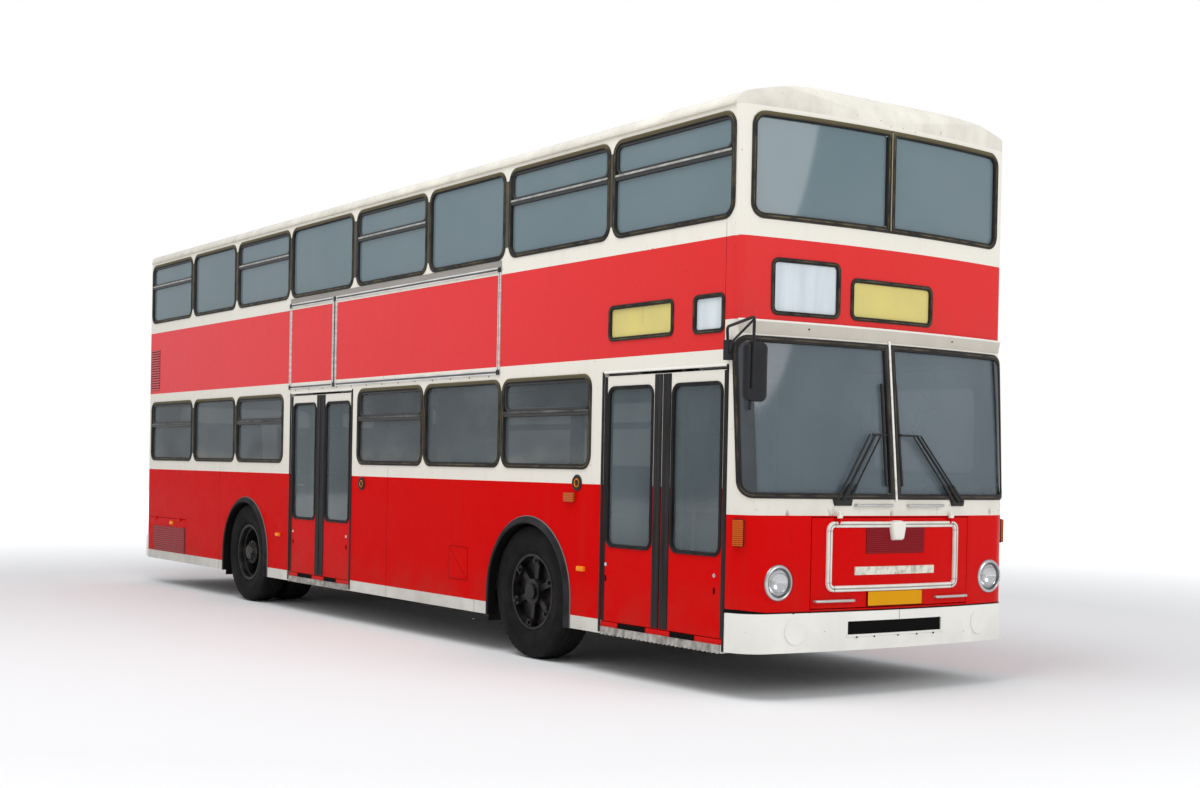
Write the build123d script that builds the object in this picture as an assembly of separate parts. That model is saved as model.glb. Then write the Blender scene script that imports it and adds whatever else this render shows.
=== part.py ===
"""Double decker bus with two inward gliding doors, as separate parts.

Millimetres.  +X is forward, +Y is the driver's side, +Z is up.  The origin is on the ground, in the
middle of the whole length (mirrors included) and of the width.
"""
import os
from math import cos, radians, sin

from build123d import *

# ---------------------------------------------------------------- driving dimensions
HALF_WIDTH = 1250          # outer face of the side walls
WALL = 45                  # thickness of walls and body panels
BUMPER_NOSE = 5600         # most forward point of the front bumper
LOWER_NOSE = 5585          # front panel below the windscreen, on the centre line
UPPER_NOSE = 5467          # front panel above the windscreen, on the centre line
TAIL = -5700               # rear wall
BUMPER_TAIL = -5760        # rear bumper
BOW = 102                  # how far the front falls back from the centre line to the side
LOWER_CORNER = 210         # corner radius below and beside the windscreen
UPPER_CORNER = 68          # corner radius of the upper deck
REAR_CORNER = 50

SKIRT_Z = 293              # lower edge of the body
BUMPER_TOP = 560
APRON_TOP = 1193           # joint between the red apron and the white windscreen frame
DECK_SEAM = 2259           # joint between lower and upper side panels
HEADER_TOP = 2450          # joint above the windscreen frame
EAVES = 3830               # joint between walls and roof
CROWN = 4060               # highest point of the roof

FRONT_SPLIT = 5283         # side walls end and front panels begin, lower deck
UPPER_SPLIT = 5350         # the same on the upper deck
REAR_SPLIT = -5645         # side walls end and rear wall begins

FLOOR_TOP = 520            # lower saloon floor
REAR_FLOOR_TOP = 690       # lower saloon floor over the rear axle
PLATFORM_TOP = 950         # seat platform over the engine
PLATE = 40                 # thickness of floor plates
WELL_TOP = 345             # step wells inside the doors
DECK_TOP = 2360            # upper saloon floor
DECK_UNDER = 2310
CEILING = DECK_UNDER - 2

FRONT_AXLE_X = 2927
REAR_AXLE_X = -2640
TYRE_R = 515
TYRE_W = 275
RIM_R = 292
TYRE_OUTER_Y = 1232        # outer face of the outermost tyre
TWIN_PITCH = 325           # between the middles of twin tyres
KINGPIN_Y = 965
ARCH_R = 590
ARCH_Z = 500
BOX_HALF = 640             # half length of a wheel box
BOX_INNER_Y = 600
BOX_TOP = 1120
BOX_SKIN = 20

WINDOW_LAP = 12            # how far a seal covers the panel round a window
WINDOW_CORNER = 95
GLASS = 8
UPPER_WINDOW_Z = (3099, 3801)
LOWER_WINDOW_Z = (1461, 2161)
# outer edges of the window seals along X
UPPER_WINDOWS = [(-5620, -4291), (-4244, -2993), (-2943, -1589), (-1556, -162),
                 (-108, 1247), (1278, 2519), (2565, 3944), (3969, 5330)]
RIGHT_LOWER_WINDOWS = [(-5595, -4232), (-4185, -2971), (-2930, -1699),
                       (-37, 1220), (1236, 2495), (2509, 3755)]
LEFT_LOWER_WINDOWS = [(-5595, -4232), (-4185, -2971), (-1480, -162),
                      (-37, 1220), (1236, 2300), (4060, 5180)]
# doors: name, rear jamb, front jamb
DOORS = [("front_door", 3907, 5283), ("mid_door", -1520, -155)]
DOOR_TOP = 2161

LEAF_GAP = 6               # between a leaf and its jamb
LEAF_MEET = 8              # between the two leaves
LEAF_Z = (385, 2130)
LEAF_OUTER_Y = -1240
LEAF_THICK = 30
LEAF_WINDOW_Z = (925, 2045)
POST_Y = -1185             # line of the door posts and of the leaf pivots
POST_R = 14
ARM_THICK = 18
PIN_R = 7
PIN_CLEAR = 0.3

WINDSCREEN_Z = (1301, 2350)
WINDSCREEN_HALF = 1190     # half width of the windscreen seal, round the corners
SCREEN_DIVIDER = 26        # half width of the post between the panes
UPPER_FRONT_Z = (3105, 3800)
UPPER_FRONT_HALF = 1162

HATCH_HALF = 732
HATCH_Z = (585, 1180)
HATCH_GAP = 6
HATCH_HINGE = (5592, 1186)
LID_HALF = 800
LID_Z = (600, 1180)
FLAP_X = (-5620, -4400)    # engine bay flaps in the sides
FLAP_Z = (405, 785)

SEAT_WIDTH = 860
SEAT_Y = 735               # middle of a double seat

os.makedirs("parts", exist_ok=True)


# ---------------------------------------------------------------- helpers
def block(x0, x1, y0, y1, z0, z1):
    """A box between two corners."""
    return Pos((x0 + x1) / 2, (y0 + y1) / 2, (z0 + z1) / 2) * Box(x1 - x0, y1 - y0, z1 - z0)


def both_sides(shape):
    """The shape and its mirror image across the middle of the bus."""
    return [shape, mirror(shape, about=Plane.XZ)]


def rounded_x(y0, y1, z0, z1, radius, x0, x1):
    """A rounded rectangle in Y and Z, carried along X."""
    face = Plane.YZ * RectangleRounded(y1 - y0, z1 - z0, radius)
    return Pos(x0, (y0 + y1) / 2, (z0 + z1) / 2) * extrude(face, x1 - x0)


def rounded_y(x0, x1, z0, z1, radius, y0, y1):
    """A rounded rectangle in X and Z, carried along Y."""
    face = Plane.XZ * RectangleRounded(x1 - x0, z1 - z0, radius)
    return Pos((x0 + x1) / 2, y1, (z0 + z1) / 2) * extrude(face, y1 - y0)


def rod(start, end, radius):
    """A round bar from one point to another."""
    axis = Vector(*end) - Vector(*start)
    return Plane(origin=start, z_dir=axis) * Cylinder(
        radius, axis.length, align=(Align.CENTER, Align.CENTER, Align.MIN))


def tube_path(points, radius, bend):
    """A round bar along straight runs with rounded corners."""
    path = FilletPolyline(*points, radius=bend)
    section = Plane(origin=path @ 0, z_dir=path % 0) * Circle(radius)
    return sweep(section, path=path)


def profile_y(points, y0, y1):
    """A closed outline in X and Z, carried along Y."""
    face = Plane.XZ * make_face(Polyline(*points, close=True))
    return Pos(0, y1, 0) * extrude(face, y1 - y0)


def ring_y(centre_x, centre_z, r_in, r_out, y0, y1):
    """A washer with its axis along Y."""
    turned = Pos(centre_x, (y0 + y1) / 2, centre_z) * Rot(90, 0, 0)
    disc = turned * Cylinder(r_out, y1 - y0)
    return disc - turned * Cylinder(r_in, y1 - y0) if r_in else disc


def plan(nose, corner, inset=0, tail=TAIL):
    """Plan outline of the body: bowed nose, flat sides and flat tail."""
    half = HALF_WIDTH - inset
    tip = nose - inset
    edge = tip - BOW
    rear = tail + inset
    bow = ThreePointArc((edge, -half), (tip, 0), (edge, half))
    rest = Polyline((edge, half), (rear, half), (rear, -half), (edge, -half))
    face = make_face([bow, rest])
    front = [v for v in face.vertices() if v.X > 0]
    back = [v for v in face.vertices() if v.X < 0]
    face = fillet(front, max(corner - inset, 8))
    back = [v for v in face.vertices() if v.X < rear + 1]
    return fillet(back, max(REAR_CORNER - inset, 4))


def tier(z0, z1, nose0, nose1, corner0, corner1, inset, tail=TAIL):
    """The body between two heights, as a solid, drawn in by inset."""
    if nose0 == nose1 and corner0 == corner1:
        return Pos(0, 0, z0) * extrude(plan(nose0, corner0, inset, tail), z1 - z0)
    low = Pos(0, 0, z0) * plan(nose0, corner0, inset, tail)
    high = Pos(0, 0, z1) * plan(nose1, corner1, inset, tail)
    return loft([low, high], ruled=True)


def apron_tier(z0, z1, inset=0):
    return tier(z0, z1, LOWER_NOSE, LOWER_NOSE, LOWER_CORNER, LOWER_CORNER, inset)


def screen_tier(inset=0):
    return tier(APRON_TOP, HEADER_TOP, LOWER_NOSE, UPPER_NOSE, LOWER_CORNER, UPPER_CORNER, inset)


def upper_tier(z0, z1, inset=0):
    return tier(z0, z1, UPPER_NOSE, UPPER_NOSE, UPPER_CORNER, UPPER_CORNER, inset)


def save(name, *shapes):
    """Write one node; its solids don't touch."""
    solids = []
    for shape in shapes:
        solids += shape.solids()
    whole = solids[0] if len(solids) == 1 else Compound(children=solids)
    export_step(whole, f"parts/{name}.step")


# ---------------------------------------------------------------- body shell
def side_windows(windows, z_range, side):
    """Cutters for the windows of one side wall."""
    z0, z1 = z_range
    lap = WINDOW_LAP
    y0, y1 = sorted((side * (HALF_WIDTH - 80), side * (HALF_WIDTH + 20)))
    return [rounded_y(x0 + lap, x1 - lap, z0 + lap, z1 - lap, WINDOW_CORNER, y0, y1)
            for x0, x1 in windows]


def arch_cut(x, side):
    """The open wheel arch in a side wall."""
    y0, y1 = sorted((side * (HALF_WIDTH - 80), side * (HALF_WIDTH + 20)))
    round_top = ring_y(x, ARCH_Z, 0, ARCH_R, y0, y1)
    return round_top + block(x - ARCH_R, x + ARCH_R, y0, y1, SKIRT_Z - 10, ARCH_Z)


def side_slab(side, x0, x1, z0, z1):
    y0, y1 = sorted((side * (HALF_WIDTH - WALL), side * HALF_WIDTH))
    return block(x0, x1, y0, y1, z0, z1)


def flap_cut(side):
    y0, y1 = sorted((side * (HALF_WIDTH - 80), side * (HALF_WIDTH + 20)))
    gap = HATCH_GAP
    return block(FLAP_X[0] - gap, FLAP_X[1] + gap, y0, y1, SKIRT_Z - 10, FLAP_Z[1] + gap)


def lower_wall(side):
    """Side wall of the lower deck: windows, doors and wheel arches are open."""
    wall = side_slab(side, REAR_SPLIT, FRONT_SPLIT, SKIRT_Z, DECK_SEAM)
    windows = RIGHT_LOWER_WINDOWS if side < 0 else LEFT_LOWER_WINDOWS
    for cut in side_windows(windows, LOWER_WINDOW_Z, side):
        wall -= cut
    for x in (FRONT_AXLE_X, REAR_AXLE_X):
        wall -= arch_cut(x, side)
    wall -= flap_cut(side)
    if side < 0:
        for _, x0, x1 in DOORS:
            end = x1 + (10 if x1 == FRONT_SPLIT else 0)
            wall -= block(x0, end, -HALF_WIDTH - 20, -HALF_WIDTH + 80, WELL_TOP, DOOR_TOP)
    return wall


def upper_wall(side):
    """Side wall of the upper deck with the display openings of the door side."""
    slab = side_slab(side, REAR_SPLIT, UPPER_SPLIT - 200, DECK_SEAM, EAVES)
    y0, y1 = sorted((side * (HALF_WIDTH - 100), side * (HALF_WIDTH + 20)))
    shell = upper_tier(HEADER_TOP, EAVES) - upper_tier(HEADER_TOP, EAVES, WALL)
    slab += shell & block(UPPER_SPLIT - 210, UPPER_SPLIT, y0, y1, HEADER_TOP, EAVES)
    slab += side_slab(side, UPPER_SPLIT - 210, FRONT_SPLIT - 30, DECK_SEAM, HEADER_TOP)
    for cut in side_windows(UPPER_WINDOWS, UPPER_WINDOW_Z, side):
        slab -= cut
    if side < 0:
        for x0, x1, z0, z1 in SIDE_DISPLAYS:
            slab -= rounded_y(x0, x1, z0, z1, 35, y0, y1)
    for slat in intake_slats(side):
        slab += slat
    return slab


SIDE_DISPLAYS = [(3964, 4696, 2387, 2617), (4932, 5235, 2382, 2618)]
FRONT_DISPLAYS = [(-984, -450, 2502, 2852), (-335, 420, 2505, 2765)]


LAMP_Y, LAMP_Z, LAMP_R = 991, 760, 112
LAMP_FACE = 5527           # plane of the headlamp bezels


def lamp_cone(side, x0, r0, x1, r1):
    """Cone or cylinder along X about a headlamp's axis."""
    start = Pos(x0, side * LAMP_Y, LAMP_Z) * Rot(0, 90, 0)
    along = (Align.CENTER, Align.CENTER, Align.MIN)
    if r0 == r1:
        return start * Cylinder(r0, x1 - x0, align=along)
    return start * Cone(r0, r1, x1 - x0, align=along)


def front_apron():
    """Red front panel: dished round the headlamps and open where the front hatch sits."""
    shell = apron_tier(BUMPER_TOP + 6, APRON_TOP) - apron_tier(BUMPER_TOP + 6, APRON_TOP, WALL)
    front = shell & block(FRONT_SPLIT, 6000, -1300, 1300, BUMPER_TOP, APRON_TOP)
    gap = HATCH_GAP
    inner_room = apron_tier(BUMPER_TOP, APRON_TOP, WALL)
    for side in (-1, 1):
        fairing = lamp_cone(side, LAMP_FACE - 60, LAMP_R + 66, LAMP_FACE, LAMP_R + 8)
        front += fairing - inner_room
        front -= lamp_cone(side, LAMP_FACE, LAMP_R + 5, LAMP_FACE + 60, LAMP_R + 48)
        front -= lamp_cone(side, 5300, LAMP_R, 5700, LAMP_R)
    return front - block(5400, 6000, -HATCH_HALF - gap, HATCH_HALF + gap,
                         HATCH_Z[0] - gap, HATCH_Z[1] + gap)


def windscreen_cut(side, inset=0.0):
    """Opening of one windscreen pane, seen from the front."""
    inner, outer = SCREEN_DIVIDER + inset, WINDSCREEN_HALF - WINDOW_LAP - inset
    y0, y1 = sorted((side * inner, side * outer))
    lap = WINDOW_LAP + inset
    return rounded_x(y0, y1, WINDSCREEN_Z[0] + lap, WINDSCREEN_Z[1] - lap, 90, 5150, 6000)


def screen_frame():
    """White frame round the windscreen: band below, corner posts, middle post and header."""
    shell = screen_tier() - screen_tier(WALL)
    keep = block(FRONT_SPLIT, 6000, -1300, 1300, APRON_TOP, HEADER_TOP)
    keep += block(FRONT_SPLIT - 30, 6000, -1300, 1300, DECK_SEAM, HEADER_TOP)
    frame = shell & keep
    for side in (-1, 1):
        frame -= windscreen_cut(side)
    return frame


def upper_front_cut(side):
    y0, y1 = sorted((side * 20, side * (UPPER_FRONT_HALF - WINDOW_LAP)))
    z0, z1 = UPPER_FRONT_Z
    return rounded_x(y0, y1, z0 + WINDOW_LAP, z1 - WINDOW_LAP, 90, 5250, 6000)


def upper_front():
    """Front of the upper deck: two panes above, two display openings below."""
    shell = upper_tier(HEADER_TOP, EAVES) - upper_tier(HEADER_TOP, EAVES, WALL)
    front = shell & block(UPPER_SPLIT, 6000, -1300, 1300, HEADER_TOP, EAVES)
    for side in (-1, 1):
        front -= upper_front_cut(side)
    for y0, y1, z0, z1 in FRONT_DISPLAYS:
        front -= rounded_x(y0, y1, z0, z1, 40, 5200, 6000)
    return front


REAR_UPPER_PANES = [(-980, -15), (15, 980)]
REAR_LOWER_PANES = [(-900, 900)]


def rear_pane_cut(y0, y1, z_range, x0=-5900, x1=-5600):
    lap = WINDOW_LAP
    return rounded_x(y0, y1, z_range[0] + lap, z_range[1] - lap, WINDOW_CORNER, x0, x1)


def rear_wall():
    """Rear wall from bumper to roof, open for the windows and the engine lid."""
    shell = upper_tier(BUMPER_TOP + 6, EAVES) - upper_tier(BUMPER_TOP + 6, EAVES, WALL)
    wall = shell & block(-6000, REAR_SPLIT, -1300, 1300, BUMPER_TOP, EAVES)
    for y0, y1 in REAR_UPPER_PANES:
        wall -= rear_pane_cut(y0, y1, UPPER_WINDOW_Z)
    for y0, y1 in REAR_LOWER_PANES:
        wall -= rear_pane_cut(y0, y1, LOWER_WINDOW_Z)
    gap = HATCH_GAP
    return wall - block(-6000, -5600, -LID_HALF - gap, LID_HALF + gap,
                        LID_Z[0] - gap, LID_Z[1] + gap)


def roof_solid(inset):
    """Arched roof with rounded eaves, nose and tail, drawn in by inset."""
    half = HALF_WIDTH - inset
    crown = CROWN - inset
    shoulder = 3903 - inset
    base = EAVES
    bend = 75
    arch = ThreePointArc((-half, shoulder), (0, crown), (half, shoulder))
    legs = Polyline((half, shoulder), (half, base), (-half, base), (-half, shoulder))
    section = make_face([arch, legs])
    tops = [v for v in section.vertices() if v.Y > base + 20]
    section = fillet(tops, bend - min(inset, 40))
    across = Pos(-6000, 0, 0) * extrude(Plane.YZ * section, 12000)
    nose = UPPER_NOSE - inset
    tail = TAIL + inset
    top = crown + 10
    outline = Polyline((tail, base), (nose, base), (nose, 3860 - inset / 2))
    dome = ThreePointArc((nose, 3860 - inset / 2), (nose - 55, 3975 - inset), (nose - 210, 4035 - inset))
    brow = Line((nose - 210, 4035 - inset), (nose - 900, top))
    back = Polyline((nose - 900, top), (tail + 500, top), (tail + 60, 4005 - inset),
                    (tail, 3900 - inset), (tail, base))
    along_face = Plane.XZ * make_face([outline, dome, brow, back])
    along = Pos(0, 1400, 0) * extrude(along_face, 2800)
    body = upper_tier(base, top, inset)
    return body & across & along


def roof():
    return roof_solid(0) - roof_solid(WALL - 10)


# ---------------------------------------------------------------- glass
def side_pane(x0, x1, z_range, side):
    lap = WINDOW_LAP
    y0, y1 = sorted((side * (HALF_WIDTH - 22), side * (HALF_WIDTH - 22 + GLASS)))
    return rounded_y(x0 + lap, x1 - lap, z_range[0] + lap, z_range[1] - lap, WINDOW_CORNER, y0, y1)


def window_glass():
    """Every fixed side and rear pane and the two upper front panes."""
    panes = []
    for side in (-1, 1):
        lower = RIGHT_LOWER_WINDOWS if side < 0 else LEFT_LOWER_WINDOWS
        panes += [side_pane(x0, x1, LOWER_WINDOW_Z, side) for x0, x1 in lower]
        panes += [side_pane(x0, x1, UPPER_WINDOW_Z, side) for x0, x1 in UPPER_WINDOWS]
        skin = upper_tier(3000, EAVES, 14) - upper_tier(3000, EAVES, 14 + GLASS)
        panes.append(skin & upper_front_cut(side))
    rear = TAIL + 22
    for y0, y1 in REAR_UPPER_PANES:
        panes.append(rear_pane_cut(y0, y1, UPPER_WINDOW_Z, rear - GLASS, rear))
    for y0, y1 in REAR_LOWER_PANES:
        panes.append(rear_pane_cut(y0, y1, LOWER_WINDOW_Z, rear - GLASS, rear))
    return panes


def windscreen():
    skin = screen_tier(14) - screen_tier(14 + GLASS)
    return [skin & windscreen_cut(side) for side in (-1, 1)]


# ---------------------------------------------------------------- floors and inside
def inside(z0, z1):
    """The clear space between the walls at a height of the lower deck."""
    return apron_tier(z0, z1, WALL + 2)


BOARD_GAP = 1              # open joint between neighbouring floor boards and frame members
WELL_INNER_Y = -470
WELL_REACH = 78            # how far a step well runs past the posts of its door
WELL_SKIN = 15
WELL_PLATE = 30


def step_wells():
    """Sunk floor inside each door with a riser on three sides, as a list of flat plates."""
    plates = []
    side_y = HALF_WIDTH - WALL
    inner = WELL_INNER_Y
    low = WELL_TOP + BOARD_GAP
    for _, jamb0, jamb1 in DOORS:
        x0 = jamb0 + LEAF_GAP - WELL_REACH
        x1 = jamb1 - LEAF_GAP + WELL_REACH
        plates.append(block(x0 - WELL_SKIN, x1 + WELL_SKIN, -side_y, inner + WELL_SKIN,
                            WELL_TOP - WELL_PLATE, WELL_TOP))
        for end0, end1 in ((x0 - WELL_SKIN, x0), (x1, x1 + WELL_SKIN)):
            plates.append(block(end0, end1, -side_y, inner + WELL_SKIN, low, FLOOR_TOP))
        plates.append(block(x0 + BOARD_GAP, x1 - BOARD_GAP, inner, inner + WELL_SKIN, low, FLOOR_TOP))
    return plates


# floor boards: rear end, front end, right edge, left edge, top
FLOOR_BOARDS = [
    (-1999, 5560, -454, 599, FLOOR_TOP),
    (2288, 3566, -599, -455, FLOOR_TOP),
    (-1999, -1608, -1205, -455, FLOOR_TOP),
    (-67, 2286, -1205, -455, FLOOR_TOP),
    (3568, 3819, -1205, -455, FLOOR_TOP),
    (5371, 5560, -1205, -455, FLOOR_TOP),
    (-1999, 2286, 600, 1205, FLOOR_TOP),
    (3568, 5560, 600, 1205, FLOOR_TOP),
    (-3699, -2021, -599, 599, REAR_FLOOR_TOP),
    (-3699, -3281, -1205, -600, REAR_FLOOR_TOP),
    (-3699, -3281, 600, 1205, REAR_FLOOR_TOP),
    (-5655, -3721, -1205, 1205, PLATFORM_TOP),
]
# risers between the levels: rear face, front face, half width, bottom, top
FLOOR_RISERS = [(-2020, -2000, 599, 480, REAR_FLOOR_TOP), (-3720, -3700, 1205, 650, PLATFORM_TOP)]


def lower_floor():
    """Floor boards on three levels, the risers between them and the two step wells."""
    boards = [block(x0, x1, y0, y1, top - PLATE, top) for x0, x1, y0, y1, top in FLOOR_BOARDS]
    boards += [block(x0, x1, -half, half, z0, z1) for x0, x1, half, z0, z1 in FLOOR_RISERS]
    room = inside(200, APRON_TOP)
    return [board & room for board in boards + step_wells()]


def wheel_boxes():
    """Four boxes over the wheels, open below and towards the arches."""
    boxes = []
    side_y = HALF_WIDTH - WALL
    for x in (FRONT_AXLE_X, REAR_AXLE_X):
        floor = FLOOR_TOP if x > 0 else REAR_FLOOR_TOP
        under = floor - PLATE
        for side in (-1, 1):
            y0, y1 = sorted((side * BOX_INNER_Y, side * side_y))
            outer = block(x - BOX_HALF, x + BOX_HALF, y0, y1, under, BOX_TOP)
            y0, y1 = sorted((side * (BOX_INNER_Y + BOX_SKIN), side * (side_y + 10)))
            hollow = block(x - BOX_HALF + BOX_SKIN, x + BOX_HALF - BOX_SKIN, y0, y1,
                           under - 10, BOX_TOP - BOX_SKIN)
            boxes.append(outer - hollow)
    return boxes


STAIR_FRONTS = [FRONT_AXLE_X + BOX_HALF, REAR_AXLE_X + BOX_HALF]
STAIR_Y = (597, 1203)
TREAD_RUN = 240
TREAD_COUNT = 6


def stair_hole(front):
    last = front - 100 - (TREAD_COUNT - 1) * TREAD_RUN
    return (last, front + 400)


def upper_floor():
    """Upper deck plate with an opening over each stair."""
    plate = upper_tier(DECK_UNDER, DECK_TOP, WALL + 12)
    for front in STAIR_FRONTS:
        x0, x1 = stair_hole(front)
        plate -= block(x0, x1, STAIR_Y[0], 1300, DECK_UNDER - 10, DECK_TOP + 10)
    return plate


def stair(front):
    """Two steps from the aisle, then treads over the wheel box up to the upper deck."""
    floor = FLOOR_TOP
    rise = (DECK_TOP - BOX_TOP) / TREAD_COUNT
    y0, y1 = STAIR_Y
    base = block(front + 2, front + 370, 400, y1, floor, 720)
    base += block(front + 2, front + 370, 620, y1, 700, 920)
    base += block(front + 2, front + 370, 840, y1, 900, BOX_TOP)
    thick = 30
    flight = block(front - 130, front - 100, y0, y1, BOX_TOP, BOX_TOP + rise)
    for step in range(1, TREAD_COUNT):
        x = front - 100 - TREAD_RUN * step
        z = BOX_TOP + rise * step
        flight += block(x - thick, x + TREAD_RUN, y0, y1, z - thick, z)
        top = z + rise - (DECK_TOP - DECK_UNDER if step == TREAD_COUNT - 1 else 0)
        flight += block(x - thick, x, y0, y1, z - thick, top)
    x_end = stair_hole(front)[0]
    flight -= block(x_end - 100, x_end, y0, y1, DECK_UNDER - 2, DECK_TOP + 10)
    foot = x_end - thick
    panel = profile_y([(front, BOX_TOP), (front, 1900), (front - 420, CEILING),
                       (foot, CEILING), (foot, BOX_TOP)], y0 - 20, y0)
    parapet = block(x_end, front + 400, y0 - 25, y0 - 5, DECK_TOP, DECK_TOP + 850)
    return [base, flight + panel, parapet]


# lower deck seats: x, side, floor under them
LOWER_SEATS = [(330, -1, FLOOR_TOP), (1080, -1, FLOOR_TOP), (1830, -1, FLOOR_TOP),
               (1830, 1, FLOOR_TOP), (1080, 1, FLOOR_TOP), (330, 1, FLOOR_TOP),
               (-420, 1, FLOOR_TOP), (-1130, 1, FLOOR_TOP),
               (-4200, -1, PLATFORM_TOP), (-4200, 1, PLATFORM_TOP),
               (-5150, -1, PLATFORM_TOP), (-5150, 1, PLATFORM_TOP)]
SEAT_PITCH = 780
UPPER_ROWS = [4680 - SEAT_PITCH * row for row in range(13)]


def clear_of_stairs(x):
    return all(not x0 - 420 < x < x1 + 380 for x0, x1 in map(stair_hole, STAIR_FRONTS))


def seat_places():
    """Place of every double seat: x, y and floor height."""
    places = [(x, side * SEAT_Y, floor) for x, side, floor in LOWER_SEATS]
    for x in UPPER_ROWS:
        places.append((x, -SEAT_Y, DECK_TOP))
        if clear_of_stairs(x):
            places.append((x, SEAT_Y, DECK_TOP))
    return places


def seat_frame(x, y, floor, width=SEAT_WIDTH):
    """L-shaped shell on a pedestal."""
    half = width / 2
    shell = profile_y([(220, 340), (220, 355), (-205, 355), (-290, 960), (-305, 960), (-220, 340)],
                      -half, half)
    leg = block(-60, 60, -30, 30, 0, 340)
    return Pos(x, y, floor) * (shell + leg)


def seat_pads(x, y, floor, width=SEAT_WIDTH):
    """Cushion and back pad, each a plain solid."""
    half = width / 2 - 10
    cushion = profile_y([(222, 356), (222, 425), (-145, 425), (-200, 356)], -half, half)
    back = profile_y([(-203, 360), (-148, 430), (-215, 930), (-283, 930)], -half, half)
    return [Pos(x, y, floor) * pad for pad in (cushion, back)]


DRIVER = (4420, 700)
PARTITION_X = 3975


def cab_fittings():
    """Screen behind the driver, dashboard with steering column, and the cab's side panel."""
    floor = FLOOR_TOP
    screen = block(PARTITION_X, PARTITION_X + 25, 330, 1203, floor, CEILING)
    gate = block(PARTITION_X + 25, PARTITION_X + 900, 330, 350, floor, 1350)
    dash = profile_y([(5120, 900), (5120, 1130), (5330, 1215), (5400, 1180), (5400, 900)], 130, 1050)
    dash += block(5300, 5390, 160, 1020, floor, 900)
    column = rod((5330, DRIVER[1], 960), (5010, DRIVER[1], 1235), 32)
    return [screen + gate, dash + column]


def steering_wheel():
    """Flat-set wheel of three spokes on the end of the column."""
    hub = Cylinder(45, 40)
    rim = Torus(235, 14)
    spokes = [Rot(0, 0, a) * Pos(132, 0, 0) * Box(200, 34, 12) for a in (90, 210, 330)]
    wheel = hub + rim
    for spoke in spokes:
        wheel += spoke
    axis = Vector(5010 - 5330, 0, 1235 - 960).normalized()
    centre = Vector(5010, DRIVER[1], 1235) + axis * 26
    return Plane(origin=centre, z_dir=axis) * wheel


# upright poles: x, y, floor, ceiling
POLES = [(3780, -430, FLOOR_TOP, CEILING), (-40, -400, FLOOR_TOP, CEILING),
         (-1640, -430, FLOOR_TOP, CEILING), (4600, -400, FLOOR_TOP, CEILING),
         (-840, -400, FLOOR_TOP, CEILING), (-1600, 380, FLOOR_TOP, CEILING),
         (-3560, -420, REAR_FLOOR_TOP, CEILING), (-3560, 420, REAR_FLOOR_TOP, CEILING)]
POLE_R = 17


def grab_poles():
    return [rod((x, y, z0), (x, y, z1), POLE_R) for x, y, z0, z1 in POLES]


# ---------------------------------------------------------------- running gear
RAIL_Y = 400               # middle of each frame rail
RAIL_HALF = 38
LOW_RAIL = (350, 470)
HIGH_RAIL = (520, 640)     # where the rails pass over the rear axle
CROSS_Z = (365, 455)
# runs of each rail: rear end, front end, bottom, top
RAIL_RUNS = [(-2029, 5349, *LOW_RAIL), (-2130, -2030, LOW_RAIL[0], HIGH_RAIL[1]),
             (-3559, -2131, *HIGH_RAIL), (-3650, -3560, LOW_RAIL[0], HIGH_RAIL[1]),
             (-5539, -3651, *LOW_RAIL)]
CROSS_MEMBERS = [-5450, -1800, -900, 150, 1150, 2100, 3640, 4500, 5100]
# end beams with their towing eyes: rear face, front face, middle of the eye
END_BEAMS = [(5350, 5390, 5440), (-5580, -5540, -5630)]
EYE_Z = (430, 460)
TOW_HOLE_R = 20
JACK_X = [3750, -1650]
JACK_PAD = (60, 10)        # half length and thickness of a jacking pad


def chassis_frame():
    """Two long rails stepped over the rear axle, cross members, towing beams and jacking pads."""
    members = []
    for x0, x1, z0, z1 in RAIL_RUNS:
        members += both_sides(block(x0, x1, RAIL_Y - RAIL_HALF, RAIL_Y + RAIL_HALF, z0, z1))
    reach = RAIL_Y - RAIL_HALF - BOARD_GAP
    members += [block(x - 30, x + 30, -reach, reach, *CROSS_Z) for x in CROSS_MEMBERS]
    members.append(block(-3640, -3580, -reach, reach, 535, 625))
    for x0, x1, eye_x in END_BEAMS:
        beam = block(x0, x1, -RAIL_Y - RAIL_HALF, RAIL_Y + RAIL_HALF, *CROSS_Z)
        arm0, arm1 = sorted(((x0 + x1) / 2, eye_x))
        beam += block(arm0, arm1, -45, 45, *EYE_Z)
        eye = Pos(eye_x, 0, sum(EYE_Z) / 2)
        beam += eye * Cylinder(45, EYE_Z[1] - EYE_Z[0])
        members.append(beam - eye * Cylinder(TOW_HOLE_R, 60))
    half, thick = JACK_PAD
    low = LOW_RAIL[0] - BOARD_GAP
    for x in JACK_X:
        members += both_sides(block(x - half, x + half, RAIL_Y - RAIL_HALF, RAIL_Y + RAIL_HALF,
                                    low - thick, low))
    return members


def engine_block():
    """Upright engine and gearbox behind the rear axle."""
    engine = block(-5350, -4350, -330, 330, 480, 890)
    return engine + block(-4350, -3850, -240, 240, 480, 800)


def front_axle():
    """Forged beam, dropped in the middle, with a fork eye at each kingpin and two leaf springs."""
    x = FRONT_AXLE_X
    beam = block(x - 45, x + 45, -820, 820, 215, 325)
    for side in (-1, 1):
        y0, y1 = sorted((side * 740, side * 860))
        beam += block(x - 45, x + 45, y0, y1, 215, 560)
        y0, y1 = sorted((side * 850, side * (KINGPIN_Y + 10)))
        beam += block(x - 38, x + 38, y0, y1, 470, 560)
        beam += Pos(x, side * KINGPIN_Y, 515) * Cylinder(42, 90)
        beam -= Pos(x, side * KINGPIN_Y, 515) * Cylinder(20.3, 200)
        y0, y1 = sorted((side * 375, side * 465))
        beam += block(x - 560, x + 560, y0, y1, 326, 349) + block(x - 50, x + 50, y0, y1, 320, 330)
    return beam


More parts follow.
